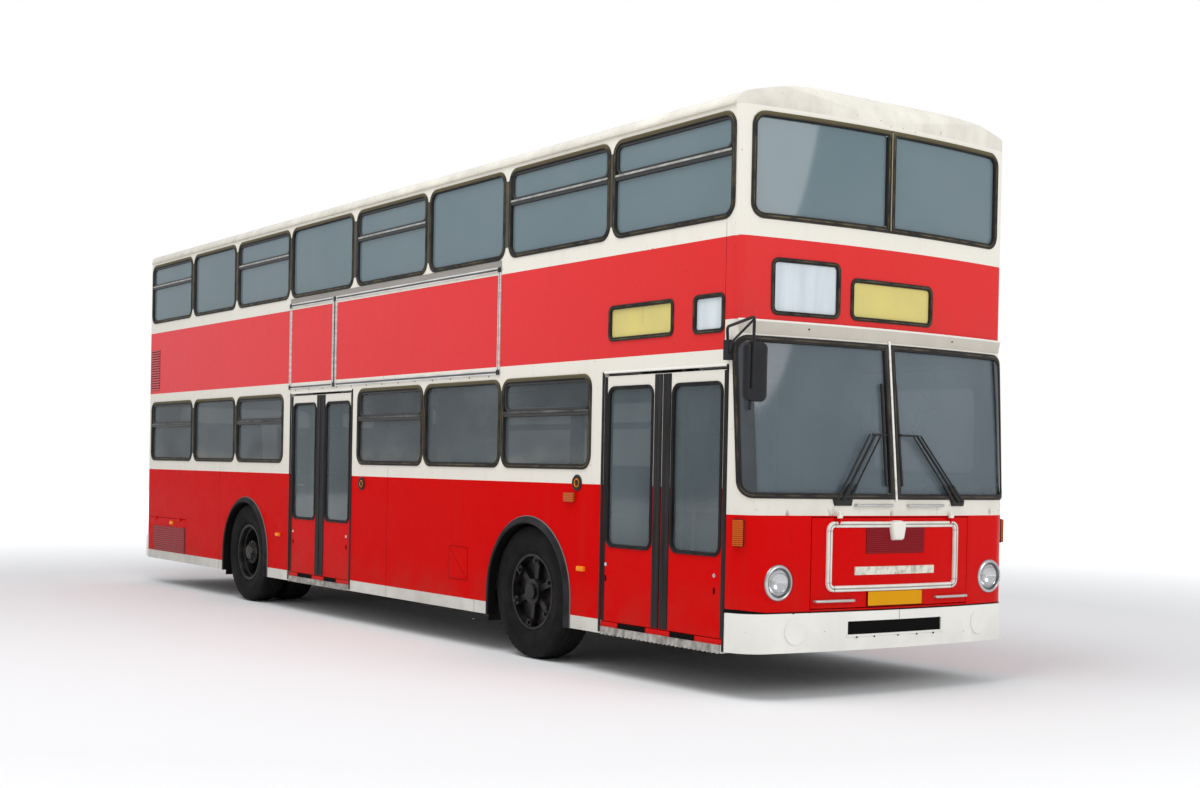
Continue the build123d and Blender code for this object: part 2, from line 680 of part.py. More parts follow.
def rear_axle():
    """Low portal axle: dropped middle housing and raised wheel ends."""
    x = REAR_AXLE_X
    housing = Pos(x, 0, 380) * Rot(90, 0, 0) * Cylinder(85, 1160)
    housing += Pos(x, 0, 380) * Sphere(165)
    housing &= block(x - 300, x + 300, -600, 600, 200, 515)
    for side in (-1, 1):
        y0, y1 = sorted((side * 500, side * 590))
        housing += block(x - 80, x + 80, y0, y1, 300, 600)
        housing += Pos(x, side * 820, TYRE_R) * Rot(90, 0, 0) * Cylinder(55, 470)
    return housing


def knuckle(side):
    """Kingpin carrier with its stub axle."""
    x, y = FRONT_AXLE_X, side * KINGPIN_Y
    pin = Pos(x, y, 515) * Cylinder(20, 160)
    ears = Pos(x, y, 515 + 68) * Cylinder(40, 34) + Pos(x, y, 515 - 68) * Cylinder(40, 34)
    y0, y1 = sorted((side * (KINGPIN_Y + 55), side * (KINGPIN_Y + 85)))
    plate = block(x - 50, x + 50, y0, y1, 425, 605)
    for z in (583, 447):
        y0, y1 = sorted((y, side * (KINGPIN_Y + 60)))
        plate += block(x - 40, x + 40, y0, y1, z - 17, z + 17)
    y0, y1 = sorted((side * (KINGPIN_Y + 85), side * (KINGPIN_Y + 200)))
    stub = ring_y(x, TYRE_R, 0, 32, y0, y1)
    return pin + ears + plate + stub


def tyre(x, y_mid):
    """One tyre: rounded shoulders and slightly crowned sides."""
    half = TYRE_W / 2
    points = [(RIM_R, half - 25), (RIM_R + 60, half), (TYRE_R - 85, half), (TYRE_R - 20, half - 22),
              (TYRE_R, half - 50), (TYRE_R, 50 - half), (TYRE_R - 20, 22 - half),
              (TYRE_R - 85, -half), (RIM_R + 60, -half), (RIM_R, 25 - half)]
    face = Plane.XZ * make_face(Polyline(*points, close=True))
    ring = revolve(face, Axis.Z)
    return Pos(x, y_mid, TYRE_R) * Rot(90, 0, 0) * ring


def disc_section(points):
    """Solid of revolution about Z from (radius, height) points."""
    return revolve(Plane.XZ * make_face(Polyline(*points, close=True)), Axis.Z)


# front wheel: spider arms that clamp the rim, as distances from the wheel's middle plane
SPIDER_ARMS = 6
SPIDER_PHASE = 20
ARM_WIDTH = 48
ARM_FACE = 84
CLAMP = (220, 268, 68, 106)    # radius low and high, width, face


def front_rim(side):
    """Deep rim closed by a drum plate; six spider arms from the hub clamp it with wedges and nuts."""
    half = TYRE_W / 2
    bore = 33
    points = [(bore, 20), (bore, 112), (98, 112), (98, 45), (RIM_R - 20, 45),
              (RIM_R - 20, half - 26), (RIM_R, half - 26), (RIM_R, 26 - half),
              (RIM_R - 20, 26 - half), (RIM_R - 20, 28), (105, 28), (105, 20)]
    rim = disc_section(points)
    rim += Pos(0, 0, 120) * Cylinder(62, 22)
    r0, r1, width, face = CLAMP
    for arm in range(SPIDER_ARMS):
        turned = Rot(0, 0, SPIDER_PHASE + arm * 360 / SPIDER_ARMS)
        rim += turned * block(80, RIM_R - 14, -ARM_WIDTH / 2, ARM_WIDTH / 2, 40, ARM_FACE)
        rim += turned * block(r0, r1, -width / 2, width / 2, 70, face)
        rim += turned * Pos((r0 + r1) / 2, 0, face + 8) * Cylinder(14, 24)
    turn = Rot(90, 0, 0) if side < 0 else Rot(-90, 0, 0)
    y = side * (TYRE_OUTER_Y - half)
    return Pos(FRONT_AXLE_X, y, TYRE_R) * turn * rim


def rear_rims(side):
    """Twin rims bolted face to face on the hub, deep dish outside."""
    half = TYRE_W / 2
    pitch = TWIN_PITCH
    bore = 56
    points = [(bore, -pitch / 2 - 30), (bore, -pitch / 2 + 25), (RIM_R - 20, -pitch / 2 + 25),
              (RIM_R - 20, half - 26), (RIM_R, half - 26), (RIM_R, 26 - half - pitch),
              (RIM_R - 20, 26 - half - pitch), (RIM_R - 20, -pitch / 2 - 30)]
    rim = disc_section(points)
    rim += Pos(0, 0, -40) * Cylinder(115, 210)
    rim -= Pos(0, 0, -pitch / 2 + 40) * Cylinder(bore, 190)
    studs = [Pos(168 * cos(radians(a)), 168 * sin(radians(a)), -pitch / 2 + 40) * Cylinder(16, 60)
             for a in range(0, 360, 36)]
    for stud in studs:
        rim += stud
    turn = Rot(90, 0, 0) if side < 0 else Rot(-90, 0, 0)
    y = side * (TYRE_OUTER_Y - half)
    return Pos(REAR_AXLE_X, y, TYRE_R) * turn * rim


# ---------------------------------------------------------------- doors
def leaf_span(x0, x1):
    """Width of one leaf between the jambs."""
    return (x1 - x0 - 2 * LEAF_GAP - LEAF_MEET) / 2


def door_leaf(post_x, way, width):
    """A leaf with its window open, pivot brackets and pins; way is +1 when it runs forward."""
    y0, y1 = LEAF_OUTER_Y, LEAF_OUTER_Y + LEAF_THICK
    z0, z1 = LEAF_Z
    x0, x1 = sorted((post_x, post_x + way * width))
    leaf = block(x0, x1, y0, y1, z0, z1)
    leaf -= leaf_window(post_x, way, width, y0 - 5, y1 + 5)
    middle = post_x + way * width / 2
    for z_low, z_high, pin_low, pin_high in ((z1 - 25, z1, z1 - 5, z1 + 46),
                                             (z0, z0 + 25, z0 - 33, z0 + 5)):
        leaf += block(middle - 24, middle + 24, y1 - 2, POST_Y + 16, z_low, z_high)
        pin = Pos(middle, POST_Y, (pin_low + pin_high) / 2) * Cylinder(PIN_R, pin_high - pin_low)
        leaf += pin
    return leaf


def leaf_window(post_x, way, width, y0, y1):
    edge0, edge1 = sorted((post_x + way * 48, post_x + way * (width - 112)))
    return rounded_y(edge0, edge1, LEAF_WINDOW_Z[0], LEAF_WINDOW_Z[1], 60, y0, y1)


def door_glass(post_x, way, width):
    y = LEAF_OUTER_Y + LEAF_THICK / 2
    return leaf_window(post_x, way, width, y - 4, y + 4)


def door_arms(post_x, way, width):
    """Turning post with an arm above and an arm below the leaf."""
    post = Pos(post_x, POST_Y, (WELL_TOP + 0.3 + CEILING - 1) / 2) * Cylinder(
        POST_R, CEILING - 1 - WELL_TOP - 0.3)
    middle = post_x + way * width / 2
    for z in (LEAF_Z[1] + 12, LEAF_Z[0] - 12 - ARM_THICK):
        x0, x1 = sorted((post_x, middle))
        arm = block(x0, x1, POST_Y - 11, POST_Y + 11, z, z + ARM_THICK)
        eye = Pos(middle, POST_Y, z + ARM_THICK / 2) * Cylinder(17, ARM_THICK)
        post += arm + eye
        post -= Pos(middle, POST_Y, z + ARM_THICK / 2) * Cylinder(PIN_R + PIN_CLEAR, 60)
    return post


# ---------------------------------------------------------------- lids
def nose_pad(z0, z1, proud):
    """Layer that follows the bowed nose: proud of the panel and sunk 2 mm into it."""
    return apron_tier(z0, z1, -proud) - apron_tier(z0, z1, 2)


# flat pads on the hatch: half width, z low, z high, how far proud
LOUVRES = [(272, z, z + 8, 6) for z in range(945, 1100, 16)]
BLANK_STRIP = (371, 800, 855, 8)
GRILLE_FRAME = (613, 692, 1155, 40, 22)    # half width, z low, z high, band width, proud
SHIELD = [(-36, 1028), (-62, 1098), (-66, 1145), (-50, 1160),
          (50, 1160), (66, 1145), (62, 1098), (36, 1028)]
NUMBER_PLATE = (5560, 5590, -258, 258, 590, 692)
PULL_Z = 635


def hatch_fittings():
    """Grille frame, louvres, shield, blank strip, blank plate and the two pull handles."""
    half, z0, z1, band, proud = GRILLE_FRAME
    hoop = rounded_x(-half, half, z0, z1, 60, 5400, 6000)
    hoop -= rounded_x(band - half, half - band, z0 + band, z1 - band, 22, 5300, 6100)
    fittings = [nose_pad(z0, z1, proud) & hoop, block(*NUMBER_PLATE)]
    for half, z0, z1, proud in LOUVRES + [BLANK_STRIP]:
        fittings.append(nose_pad(z0, z1, proud) & block(5400, 6000, -half, half, z0, z1))
    face = Plane.YZ * make_face(Polyline(*SHIELD, close=True))
    fittings.append(Pos(5400, 0, 0) * extrude(face, 300) & nose_pad(SHIELD[0][1], SHIELD[3][1], 45))
    for side in (-1, 1):
        fittings.append(tube_path([(5540, side * 705, PULL_Z), (5586, side * 705, PULL_Z),
                                   (5606, side * 390, PULL_Z), (5565, side * 390, PULL_Z)], 7, 12))
    return fittings


def front_hatch():
    """Bowed red hatch with its fittings and two hinge knuckles."""
    shell = apron_tier(*HATCH_Z) - apron_tier(*HATCH_Z, 28)
    hatch = shell & block(5400, 6000, -HATCH_HALF, HATCH_HALF, *HATCH_Z)
    for fitting in hatch_fittings():
        hatch += fitting
    for y in (-525, 525):
        hinge_x, hinge_z = HATCH_HINGE
        hatch += block(5545, hinge_x, y - 30, y + 30, hinge_z - 20, hinge_z - 2)
        hatch += ring_y(hinge_x, hinge_z, 0, 7, y - 30, y + 30)
    return hatch


def engine_lid():
    """Lid in the tail with cooling louvres across it and two hinge knuckles."""
    lid = block(TAIL, TAIL + 28, -LID_HALF, LID_HALF, *LID_Z)
    for z in range(650, 1110, 38):
        lid += block(TAIL - 9, TAIL + 2, -650, 650, z, z + 14)
    for y in (-600, 600):
        lid += ring_y(TAIL - 6, LID_Z[1] + 2, 0, 7, y - 40, y + 40)
        lid += block(TAIL - 10, TAIL + 5, y - 40, y + 40, LID_Z[1] - 30, LID_Z[1] - 2)
    return lid


def engine_flap(side):
    y0, y1 = sorted((side * (HALF_WIDTH - 28), side * HALF_WIDTH))
    flap = block(*FLAP_X, y0, y1, SKIRT_Z, FLAP_Z[1])
    for z in range(400, 690, 24):
        y0, y1 = sorted((side * (HALF_WIDTH - 2), side * (HALF_WIDTH + 6)))
        flap += block(FLAP_X[0] + 60, FLAP_X[1] - 60, y0, y1, z, z + 10)
    y = side * (HALF_WIDTH + 6)
    for x in (-5400, -4600):
        hinge = Pos(x, y, FLAP_Z[1] + 2) * Rot(0, 90, 0) * Cylinder(7, 70)
        y0, y1 = sorted((side * (HALF_WIDTH - 5), side * (HALF_WIDTH + 10)))
        flap += hinge + block(x - 35, x + 35, y0, y1, FLAP_Z[1] - 28, FLAP_Z[1] - 2)
    return flap


# ---------------------------------------------------------------- outside fittings
def bumpers():
    """Front and rear bumpers that wrap round the corners."""
    z0, z1 = SKIRT_Z + 12, BUMPER_TOP
    front = tier(z0, z1, BUMPER_NOSE, BUMPER_NOSE, LOWER_CORNER, LOWER_CORNER, 0)
    front -= tier(z0, z1, BUMPER_NOSE, BUMPER_NOSE, LOWER_CORNER, LOWER_CORNER, WALL)
    front &= block(FRONT_SPLIT + 2, 6000, -1300, 1300, z0, z1)
    for side in (-1, 1):
        cover = Pos(5300, side * 860, 440) * Rot(0, 90, 0) * Cylinder(85, 900)
        pad = tier(350, 530, BUMPER_NOSE, BUMPER_NOSE, LOWER_CORNER, LOWER_CORNER, -5)
        pad -= tier(350, 530, BUMPER_NOSE, BUMPER_NOSE, LOWER_CORNER, LOWER_CORNER, 2)
        front += pad & cover & block(5350, 6000, -1300, 1300, 350, 530)
    front -= block(5400, 6000, -430, 450, 400, 496)
    rear = tier(z0, z1, LOWER_NOSE, LOWER_NOSE, LOWER_CORNER, LOWER_CORNER, 0, BUMPER_TAIL)
    rear -= tier(z0, z1, LOWER_NOSE, LOWER_NOSE, LOWER_CORNER, LOWER_CORNER, WALL, BUMPER_TAIL)
    rear &= block(-6000, REAR_SPLIT - 2, -1300, 1300, z0, z1)
    return [front, rear]


def displays():
    """Closed housings behind the display openings, faces just inside the panel."""
    skin = upper_tier(HEADER_TOP, 2900, 10)
    boxes = [skin & rounded_x(y0 + 1, y1 - 1, z0 + 1, z1 - 1, 38, 5300, 6000)
             for y0, y1, z0, z1 in FRONT_DISPLAYS]
    boxes += [rounded_y(x0 + 1, x1 - 1, z0 + 1, z1 - 1, 34, -HALF_WIDTH + 8, -HALF_WIDTH + 120)
              for x0, x1, z0, z1 in SIDE_DISPLAYS]
    return boxes


RAIL_Z = (2242, 3047)
RAIL_POSTS = [(-1570, -1520), (-585, -545), (-540, -500), (2425, 2470)]
RAIL_PROUD = 12


def advert_rails(side):
    """Flat rails of the frame for posters, clear of each other at the corners."""
    y0, y1 = sorted((side * HALF_WIDTH, side * (HALF_WIDTH + RAIL_PROUD)))
    spans = [(RAIL_POSTS[0][1] + 1, RAIL_POSTS[1][0] - 1), (RAIL_POSTS[2][1] + 1, RAIL_POSTS[3][0] - 1)]
    rails = [block(x0, x1, y0, y1, z - 22, z + 22) for x0, x1 in spans for z in RAIL_Z]
    rails += [block(x0, x1, y0, y1, RAIL_Z[0] - 22, RAIL_Z[1] + 22) for x0, x1 in RAIL_POSTS]
    return rails


MIRROR_HEAD = (5694, 5742, -1478, -1298, 1905, 2275)
MIRROR_TUBE_X = 5748       # the tube runs down the front of the head
MIRROR_TUBE_R = 10
DRIVER_MIRROR = (5080, 5128, 1298, 1478, 1905, 2275)


def mirror_head(corners):
    head = block(*corners)
    return fillet(head.edges().filter_by(Axis.X), 45)


def mirrors():
    """Door side mirror on two arms ahead of the nose, driver's mirror beside the cab window."""
    tube = tube_path([(5310, -1272, 2290), (5335, -1300, 2395), (MIRROR_TUBE_X, -1425, 2425),
                      (MIRROR_TUBE_X, -1432, 1985)], MIRROR_TUBE_R, 30)
    stay = tube_path([(5325, -1268, 2215), (5405, -1310, 2300), (5735, -1422, 2405)], 8, 40)
    bracket = block(5285, 5340, -1292, -1235, 2185, 2315) - screen_tier()
    forward = mirror_head(MIRROR_HEAD) + tube + stay + bracket
    tube_x = DRIVER_MIRROR[1] + 6
    tube = tube_path([(5218, 1275, 2225), (5218, 1370, 2345), (tube_x, 1432, 2345),
                      (tube_x, 1432, 1985)], MIRROR_TUBE_R, 30)
    bracket = block(5190, 5246, HALF_WIDTH, HALF_WIDTH + 36, 2190, 2254)
    return [forward, mirror_head(DRIVER_MIRROR) + tube + bracket]


WIPER_FEET = (580, 530)    # width of the two parallel bars at the foot
WIPER_HEADS = (215, 165)   # and at the head
BLADE_Y = 78


def wipers():
    """Two pantograph wipers, parked upright beside the middle post."""
    sets = []
    for side in (-1, 1):
        bars = [rod((5566, side * foot, 1276), (5560, side * head, 1735), 6)
                for foot, head in zip(WIPER_FEET, WIPER_HEADS)]
        foot = block(5545, 5578, *sorted((side * 512, side * 598)), 1258, 1288)
        link = rod((5560, side * WIPER_HEADS[0], 1735), (5560, side * BLADE_Y, 1735), 7)
        stem = rod((5560, side * BLADE_Y, 1735), (5535, side * BLADE_Y, 1740), 6)
        blade = rod((5568, side * BLADE_Y, 1390), (5503, side * BLADE_Y, 2080), 7)
        sets.append(bars[0] + bars[1] + foot + link + stem + blade - screen_tier())
    return sets


# ribbed marker lamps of the door side: x low, x high, z low, z high, how far proud
MARKERS = [(3433, 3565, 1220, 1290, 24), (3606, 3711, 720, 755, 20), (-1831, -1738, 723, 756, 20)]
# push buttons beside the doors: x, z, radius
BUTTONS = [(3580, 1366, 50), (77, 1290, 50)]
INDICATOR_ANGLE = 62       # where the corner lamps sit on the corner's arc
CORNER_MID_X = FRONT_SPLIT + 19
TAIL_LAMP = (1010, 1130, 700, 1080)


def corner_indicator(side):
    """Block lamp standing on the rounded corner of the apron."""
    radius = LOWER_CORNER
    turned = Pos(CORNER_MID_X, side * (HALF_WIDTH - radius), 1077) * Rot(0, 0, side * INDICATOR_ANGLE)
    lamp = turned * Pos(radius + 10, 0, 0) * Box(40, 72, 173)
    return lamp - apron_tier(980, 1180)


def lamps():
    """Headlamps with bezels, corner indicators, side markers, door buttons and tail lamps."""
    units = []
    for side in (-1, 1):
        rim = LAMP_R - 0.5
        lamp = lamp_cone(side, LAMP_FACE - 65, rim, LAMP_FACE - 8, rim)
        bezel = lamp_cone(side, LAMP_FACE - 9, rim, LAMP_FACE + 6, rim - 12)
        lens = lamp_cone(side, LAMP_FACE, LAMP_R - 26, LAMP_FACE + 12, LAMP_R - 60)
        units.append(lamp + bezel + lens)
        units.append(corner_indicator(side))
        y0, y1 = sorted((side * TAIL_LAMP[0], side * TAIL_LAMP[1]))
        units.append(block(TAIL - 28, TAIL, y0, y1, *TAIL_LAMP[2:]))
        for x0, x1, z0, z1, proud in MARKERS:
            y0, y1 = sorted((side * HALF_WIDTH, side * (HALF_WIDTH + proud)))
            units.append(block(x0, x1, y0, y1, z0, z1))
    units += [ring_y(x, z, 0, radius, -HALF_WIDTH - 16, -HALF_WIDTH) for x, z, radius in BUTTONS]
    return units


# section of the arch mouldings: radius about the arch, distance off the wall
TRIM_SECTION = [(548, -WALL), (548, 26), (554, 33), (566, 35), (608, 14), (620, 3), (620, 0),
                (ARCH_R, 0), (ARCH_R, -WALL)]


def arch_trim(x):
    """Rubber moulding round one wheel arch of the door side."""
    bow = revolve(Plane.XZ * make_face(Polyline(*TRIM_SECTION, close=True)), Axis.Z, 180)
    trim = Pos(x, -HALF_WIDTH, ARCH_Z) * Rot(90, 0, 0) * bow
    for way in (-1, 1):
        outline = [(x + way * r, -HALF_WIDTH - h) for r, h in TRIM_SECTION]
        leg = extrude(make_face(Polyline(*outline, close=True)), ARCH_Z - SKIRT_Z, dir=(0, 0, 1))
        trim += Pos(0, 0, SKIRT_Z) * leg
    return trim


def nose_handles():
    """Two bright handles on the white band under the windscreen."""
    ends = [(75, 390), (-390, -75)]
    return [tube_path([(5573, y0, 1262), (5604, y0, 1262), (5604, y1, 1262), (5573, y1, 1262)], 7, 12)
            - screen_tier() for y0, y1 in ends]


# louvred air intake on the upper wall behind the last window
INTAKE_X = (-5630, -5330)
INTAKE_Z = range(2305, 2770, 29)


def intake_slats(side):
    y0, y1 = sorted((side * (HALF_WIDTH - 2), side * (HALF_WIDTH + 8)))
    return [block(*INTAKE_X, y0, y1, z, z + 14) for z in INTAKE_Z]


# ---------------------------------------------------------------- write every node
def main():
    for name, side in (("right", -1), ("left", 1)):
        save(f"{name}_lower_wall", lower_wall(side))
        save(f"{name}_upper_wall", upper_wall(side))
        save(f"{name}_engine_flap", engine_flap(side))
        save(f"front_{name}_knuckle", knuckle(side))
        mid = side * (TYRE_OUTER_Y - TYRE_W / 2)
        save(f"front_{name}_tyre", tyre(FRONT_AXLE_X, mid))
        save(f"front_{name}_rim", front_rim(side))
        save(f"rear_{name}_tyres", tyre(REAR_AXLE_X, mid), tyre(REAR_AXLE_X, mid - side * TWIN_PITCH))
        save(f"rear_{name}_rims", rear_rims(side))

    save("front_apron", front_apron())
    save("screen_frame", screen_frame())
    save("upper_front", upper_front())
    save("rear_wall", rear_wall())
    save("roof", roof())
    save("window_glass", *window_glass())
    save("windscreen", *windscreen())

    save("lower_floor", *lower_floor())
    save("wheel_boxes", *wheel_boxes())
    save("upper_floor", upper_floor())
    stairs = [piece for front in STAIR_FRONTS for piece in stair(front)]
    save("stairs", *stairs)
    places = seat_places()
    cab_seat = (DRIVER[0], DRIVER[1], FLOOR_TOP + 60)
    frames = [seat_frame(*place) for place in places] + [seat_frame(*cab_seat, 480)]
    pads = [pad for place in places for pad in seat_pads(*place)] + seat_pads(*cab_seat, 480)
    save("seat_frames", *frames)
    save("seat_pads", *pads)
    save("cab_fittings", *cab_fittings())
    save("steering_wheel", steering_wheel())
    save("grab_poles", *grab_poles())

    save("chassis_frame", *chassis_frame())
    save("engine_block", engine_block())
    save("front_axle", front_axle())
    save("rear_axle", rear_axle())

    for door, x0, x1 in DOORS:
        width = leaf_span(x0, x1)
        for leaf, post_x, way in (("aft", x0 + LEAF_GAP, 1), ("fore", x1 - LEAF_GAP, -1)):
            save(f"{door}_{leaf}_leaf", door_leaf(post_x, way, width))
            save(f"{door}_{leaf}_glass", door_glass(post_x, way, width))
            save(f"{door}_{leaf}_arms", door_arms(post_x, way, width))

    save("front_hatch", front_hatch())
    save("engine_lid", engine_lid())
    save("bumpers", *bumpers())
    save("displays", *displays())
    save("advert_rails", *advert_rails(-1), *advert_rails(1))
    save("mirrors", *mirrors())
    save("wipers", *wipers())
    save("lamps", *lamps())
    trims = [trim for x in (FRONT_AXLE_X, REAR_AXLE_X) for trim in both_sides(arch_trim(x))]
    save("arch_trims", *trims)
    save("nose_handles", *nose_handles())


main()
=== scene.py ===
import bmesh
import bpy
import numpy as np
from mathutils import Matrix, Vector


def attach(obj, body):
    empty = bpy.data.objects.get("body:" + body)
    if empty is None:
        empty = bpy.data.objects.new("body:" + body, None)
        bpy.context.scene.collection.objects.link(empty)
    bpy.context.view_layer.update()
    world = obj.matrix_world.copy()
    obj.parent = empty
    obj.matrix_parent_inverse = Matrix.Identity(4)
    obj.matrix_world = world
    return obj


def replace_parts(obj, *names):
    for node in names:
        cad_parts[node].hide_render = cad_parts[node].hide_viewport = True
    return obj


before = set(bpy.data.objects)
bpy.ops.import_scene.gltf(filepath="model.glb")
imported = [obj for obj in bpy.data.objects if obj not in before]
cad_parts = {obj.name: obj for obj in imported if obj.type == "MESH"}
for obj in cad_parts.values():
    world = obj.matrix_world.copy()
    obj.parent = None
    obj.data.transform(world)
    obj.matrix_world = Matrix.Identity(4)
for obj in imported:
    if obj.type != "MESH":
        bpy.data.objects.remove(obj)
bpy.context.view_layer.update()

# ----- view, light and floor
# A standing viewer's camera off the kerb side corner, an even overcast light from a large dim sky
# with two broad soft lamps, and a plain pale floor under the wheels.
CAMERA_AT = (13.225, -7.785, 1.478)
CAMERA_YAW, CAMERA_PITCH, CAMERA_ROLL = 2.53697, -0.01243, 0.01951
FOCAL_PIXELS = 1588.87
IMAGE_SIZE = (1200, 788)
OPTICAL_AXIS = (591.226, 487.260)
SENSOR = 36.0


def aimed_camera():
    """Camera axes from yaw, pitch and roll; the shift moves the optical axis off the middle."""
    cos, sin = np.cos, np.sin
    forward = np.array([cos(CAMERA_YAW) * cos(CAMERA_PITCH), sin(CAMERA_YAW) * cos(CAMERA_PITCH),
                        sin(CAMERA_PITCH)])
    right = np.array([sin(CAMERA_YAW), -cos(CAMERA_YAW), 0.0])
    up = np.cross(right, forward)
    place = np.eye(4)
    place[:3, 0] = right * cos(CAMERA_ROLL) + up * sin(CAMERA_ROLL)
    place[:3, 1] = up * cos(CAMERA_ROLL) - right * sin(CAMERA_ROLL)
    place[:3, 2] = -forward
    place[:3, 3] = CAMERA_AT
    data = bpy.data.cameras.new("camera")
    wide, high = IMAGE_SIZE
    data.sensor_width = SENSOR
    data.lens = FOCAL_PIXELS / wide * SENSOR
    data.shift_x = (wide / 2 - OPTICAL_AXIS[0]) / wide
    data.shift_y = (OPTICAL_AXIS[1] - high / 2) / wide
    data.clip_end = 200
    camera = bpy.data.objects.new("camera", data)
    camera.matrix_world = Matrix(place.tolist())
    bpy.context.scene.collection.objects.link(camera)
    return camera


bpy.context.scene.camera = aimed_camera()
bpy.context.scene.view_settings.view_transform = "Standard"


def plain_sky(strength):
    """World that lights the bus at one level and shows plain white to the camera and in glass."""
    world = bpy.data.worlds.new("sky")
    bpy.context.scene.world = world
    world.use_nodes = True
    nodes, links = world.node_tree.nodes, world.node_tree.links
    nodes.clear()
    path, seen, blend = (nodes.new(f"ShaderNode{kind}") for kind in ("LightPath", "Math", "MixShader"))
    seen.operation = "MAXIMUM"
    links.new(path.outputs["Is Camera Ray"], seen.inputs[0])
    links.new(path.outputs["Is Transmission Ray"], seen.inputs[1])
    links.new(seen.outputs[0], blend.inputs[0])
    for socket, colour, level in ((1, (0.95, 0.97, 1.0, 1.0), strength), (2, (1.0, 1.0, 1.0, 1.0), 1.0)):
        background = nodes.new("ShaderNodeBackground")
        background.inputs["Color"].default_value = colour
        background.inputs["Strength"].default_value = level
        links.new(background.outputs[0], blend.inputs[socket])
    links.new(blend.outputs[0], nodes.new("ShaderNodeOutputWorld").inputs["Surface"])


def soft_lamp(name, at, towards, size, power):
    """Round lamp of a given width, turned from its place towards a point."""
    data = bpy.data.lights.new(name, "AREA")
    data.shape, data.size, data.energy = "DISK", size, power
    lamp = bpy.data.objects.new(name, data)
    lamp.location = at
    lamp.rotation_mode = "QUATERNION"
    lamp.rotation_quaternion = (Vector(towards) - Vector(at)).to_track_quat("-Z", "Y")
    bpy.context.scene.collection.objects.link(lamp)


plain_sky(0.70)
soft_lamp("overhead_lamp", (4.0, -6.0, 13.0), (0.0, 0.0, 1.5), 9.0, 900.0)
soft_lamp("front_lamp", (16.0, 3.0, 7.0), (4.0, 0.0, 2.0), 6.0, 330.0)


def linear(red, green, blue):
    """A display colour of 0 to 255 a channel as linear light, by the display's own curve."""
    c = np.array([red, green, blue]) / 255.0
    low, high = c / 12.92, ((c + 0.055) / 1.055) ** 2.4
    return (*np.where(c < 0.04045, low, high).tolist(), 1.0)


class Finish:
    """A node material being put together: each call adds one node and gives back its output.
    It keeps the name of a slot."""

    def __init__(self, name, roughness=0.5, metallic=0.0, slot=None):
        self.material = bpy.data.materials.new(name)
        self.material.use_nodes = True
        self.nodes, self.links = self.material.node_tree.nodes, self.material.node_tree.links
        self.shader = self.nodes["Principled BSDF"]
        self.set("Roughness", roughness)
        self.set("Metallic", metallic)
        self.slot = slot
        self.place = self.nodes.new("ShaderNodeTexCoord").outputs["Object"]
        axes = self.nodes.new("ShaderNodeSeparateXYZ")
        self.links.new(self.place, axes.inputs[0])
        self.x, self.y, self.z = axes.outputs[:]

    def put(self, socket, value):
        if isinstance(value, bpy.types.NodeSocket):
            self.links.new(value, socket)
        else:
            socket.default_value = value

    def set(self, socket, value):
        """A shader input, such as Alpha; gives back the finish."""
        self.put(self.shader.inputs[socket], value)
        return self

    def colour(self, value):
        return self.set("Base Color", value)

    def gloss(self, level):
        return self.set("Specular IOR Level", level)

    def math(self, operation, a, b=0.0):
        node = self.nodes.new("ShaderNodeMath")
        node.operation = operation
        self.put(node.inputs[0], a)
        self.put(node.inputs[1], b)
        return node.outputs[0]

    def times(self, a, b):
        return self.math("MULTIPLY", a, b)

    def ramp(self, value, low, high, start=0.0, end=1.0):
        """Straight change from start at low to end at high, held outside."""
        node = self.nodes.new("ShaderNodeMapRange")
        for socket, number in zip(node.inputs[:5], (value, low, high, start, end)):
            self.put(socket, number)
        return node.outputs[0]

    def band(self, value, a, b, c, d):
        """1 from b to c, falling to 0 at a and at d."""
        return self.times(self.ramp(value, a, b), self.ramp(value, d, c))

    def wave(self, value, turns):
        """Sine of the value times turns, brought to the range 0 to 1."""
        return self.ramp(self.math("SINE", self.times(value, turns)), -1.0, 1.0)

    def noise(self, scale, detail=3.0, stretch=(1.0, 1.0, 1.0)):
        mapping = self.nodes.new("ShaderNodeMapping")
        self.links.new(self.place, mapping.inputs["Vector"])
        mapping.inputs["Scale"].default_value = stretch
        node = self.nodes.new("ShaderNodeTexNoise")
        self.links.new(mapping.outputs[0], node.inputs["Vector"])
        for socket, value in (("Scale", scale), ("Detail", detail), ("Roughness", 0.55)):
            node.inputs[socket].default_value = value
        return node.outputs["Fac"]

    def mix(self, share, a, b):
        node = self.nodes.new("ShaderNodeMix")
        node.data_type = "RGBA"
        for socket, value in zip((node.inputs[0], node.inputs[6], node.inputs[7]), (share, a, b)):
            self.put(socket, value)
        return node.outputs[2]

    def across(self):
        """How far across its section a point lies, as sheet_part writes it."""
        node = self.nodes.new("ShaderNodeAttribute")
        node.attribute_name = "across"
        return node.outputs["Fac"]

    def bump(self, height, depth, strength=1.0):
        node = self.nodes.new("ShaderNodeBump")
        node.inputs["Distance"].default_value = depth
        node.inputs["Strength"].default_value = strength
        self.links.new(height, node.inputs["Height"])
        return self.set("Normal", node.outputs[0])


def mottled(name, roughness, slot, first, second, noise, between=None, metallic=0.0, gloss=None, grain=None):
    """A finish that turns from the first colour to the second with a noise, or with its rise between two
    levels; grain is a finer noise for the bump: scale, detail, depth and strength."""
    finish = Finish(name, roughness, metallic, slot)
    share = finish.noise(*noise)
    if between:
        share = finish.ramp(share, *between)
    finish.colour(finish.mix(share, linear(*first), linear(*second)))
    if gloss is not None:
        finish.gloss(gloss)
    if grain:
        finish.bump(finish.noise(*grain[:2]), *grain[2:])
    return finish


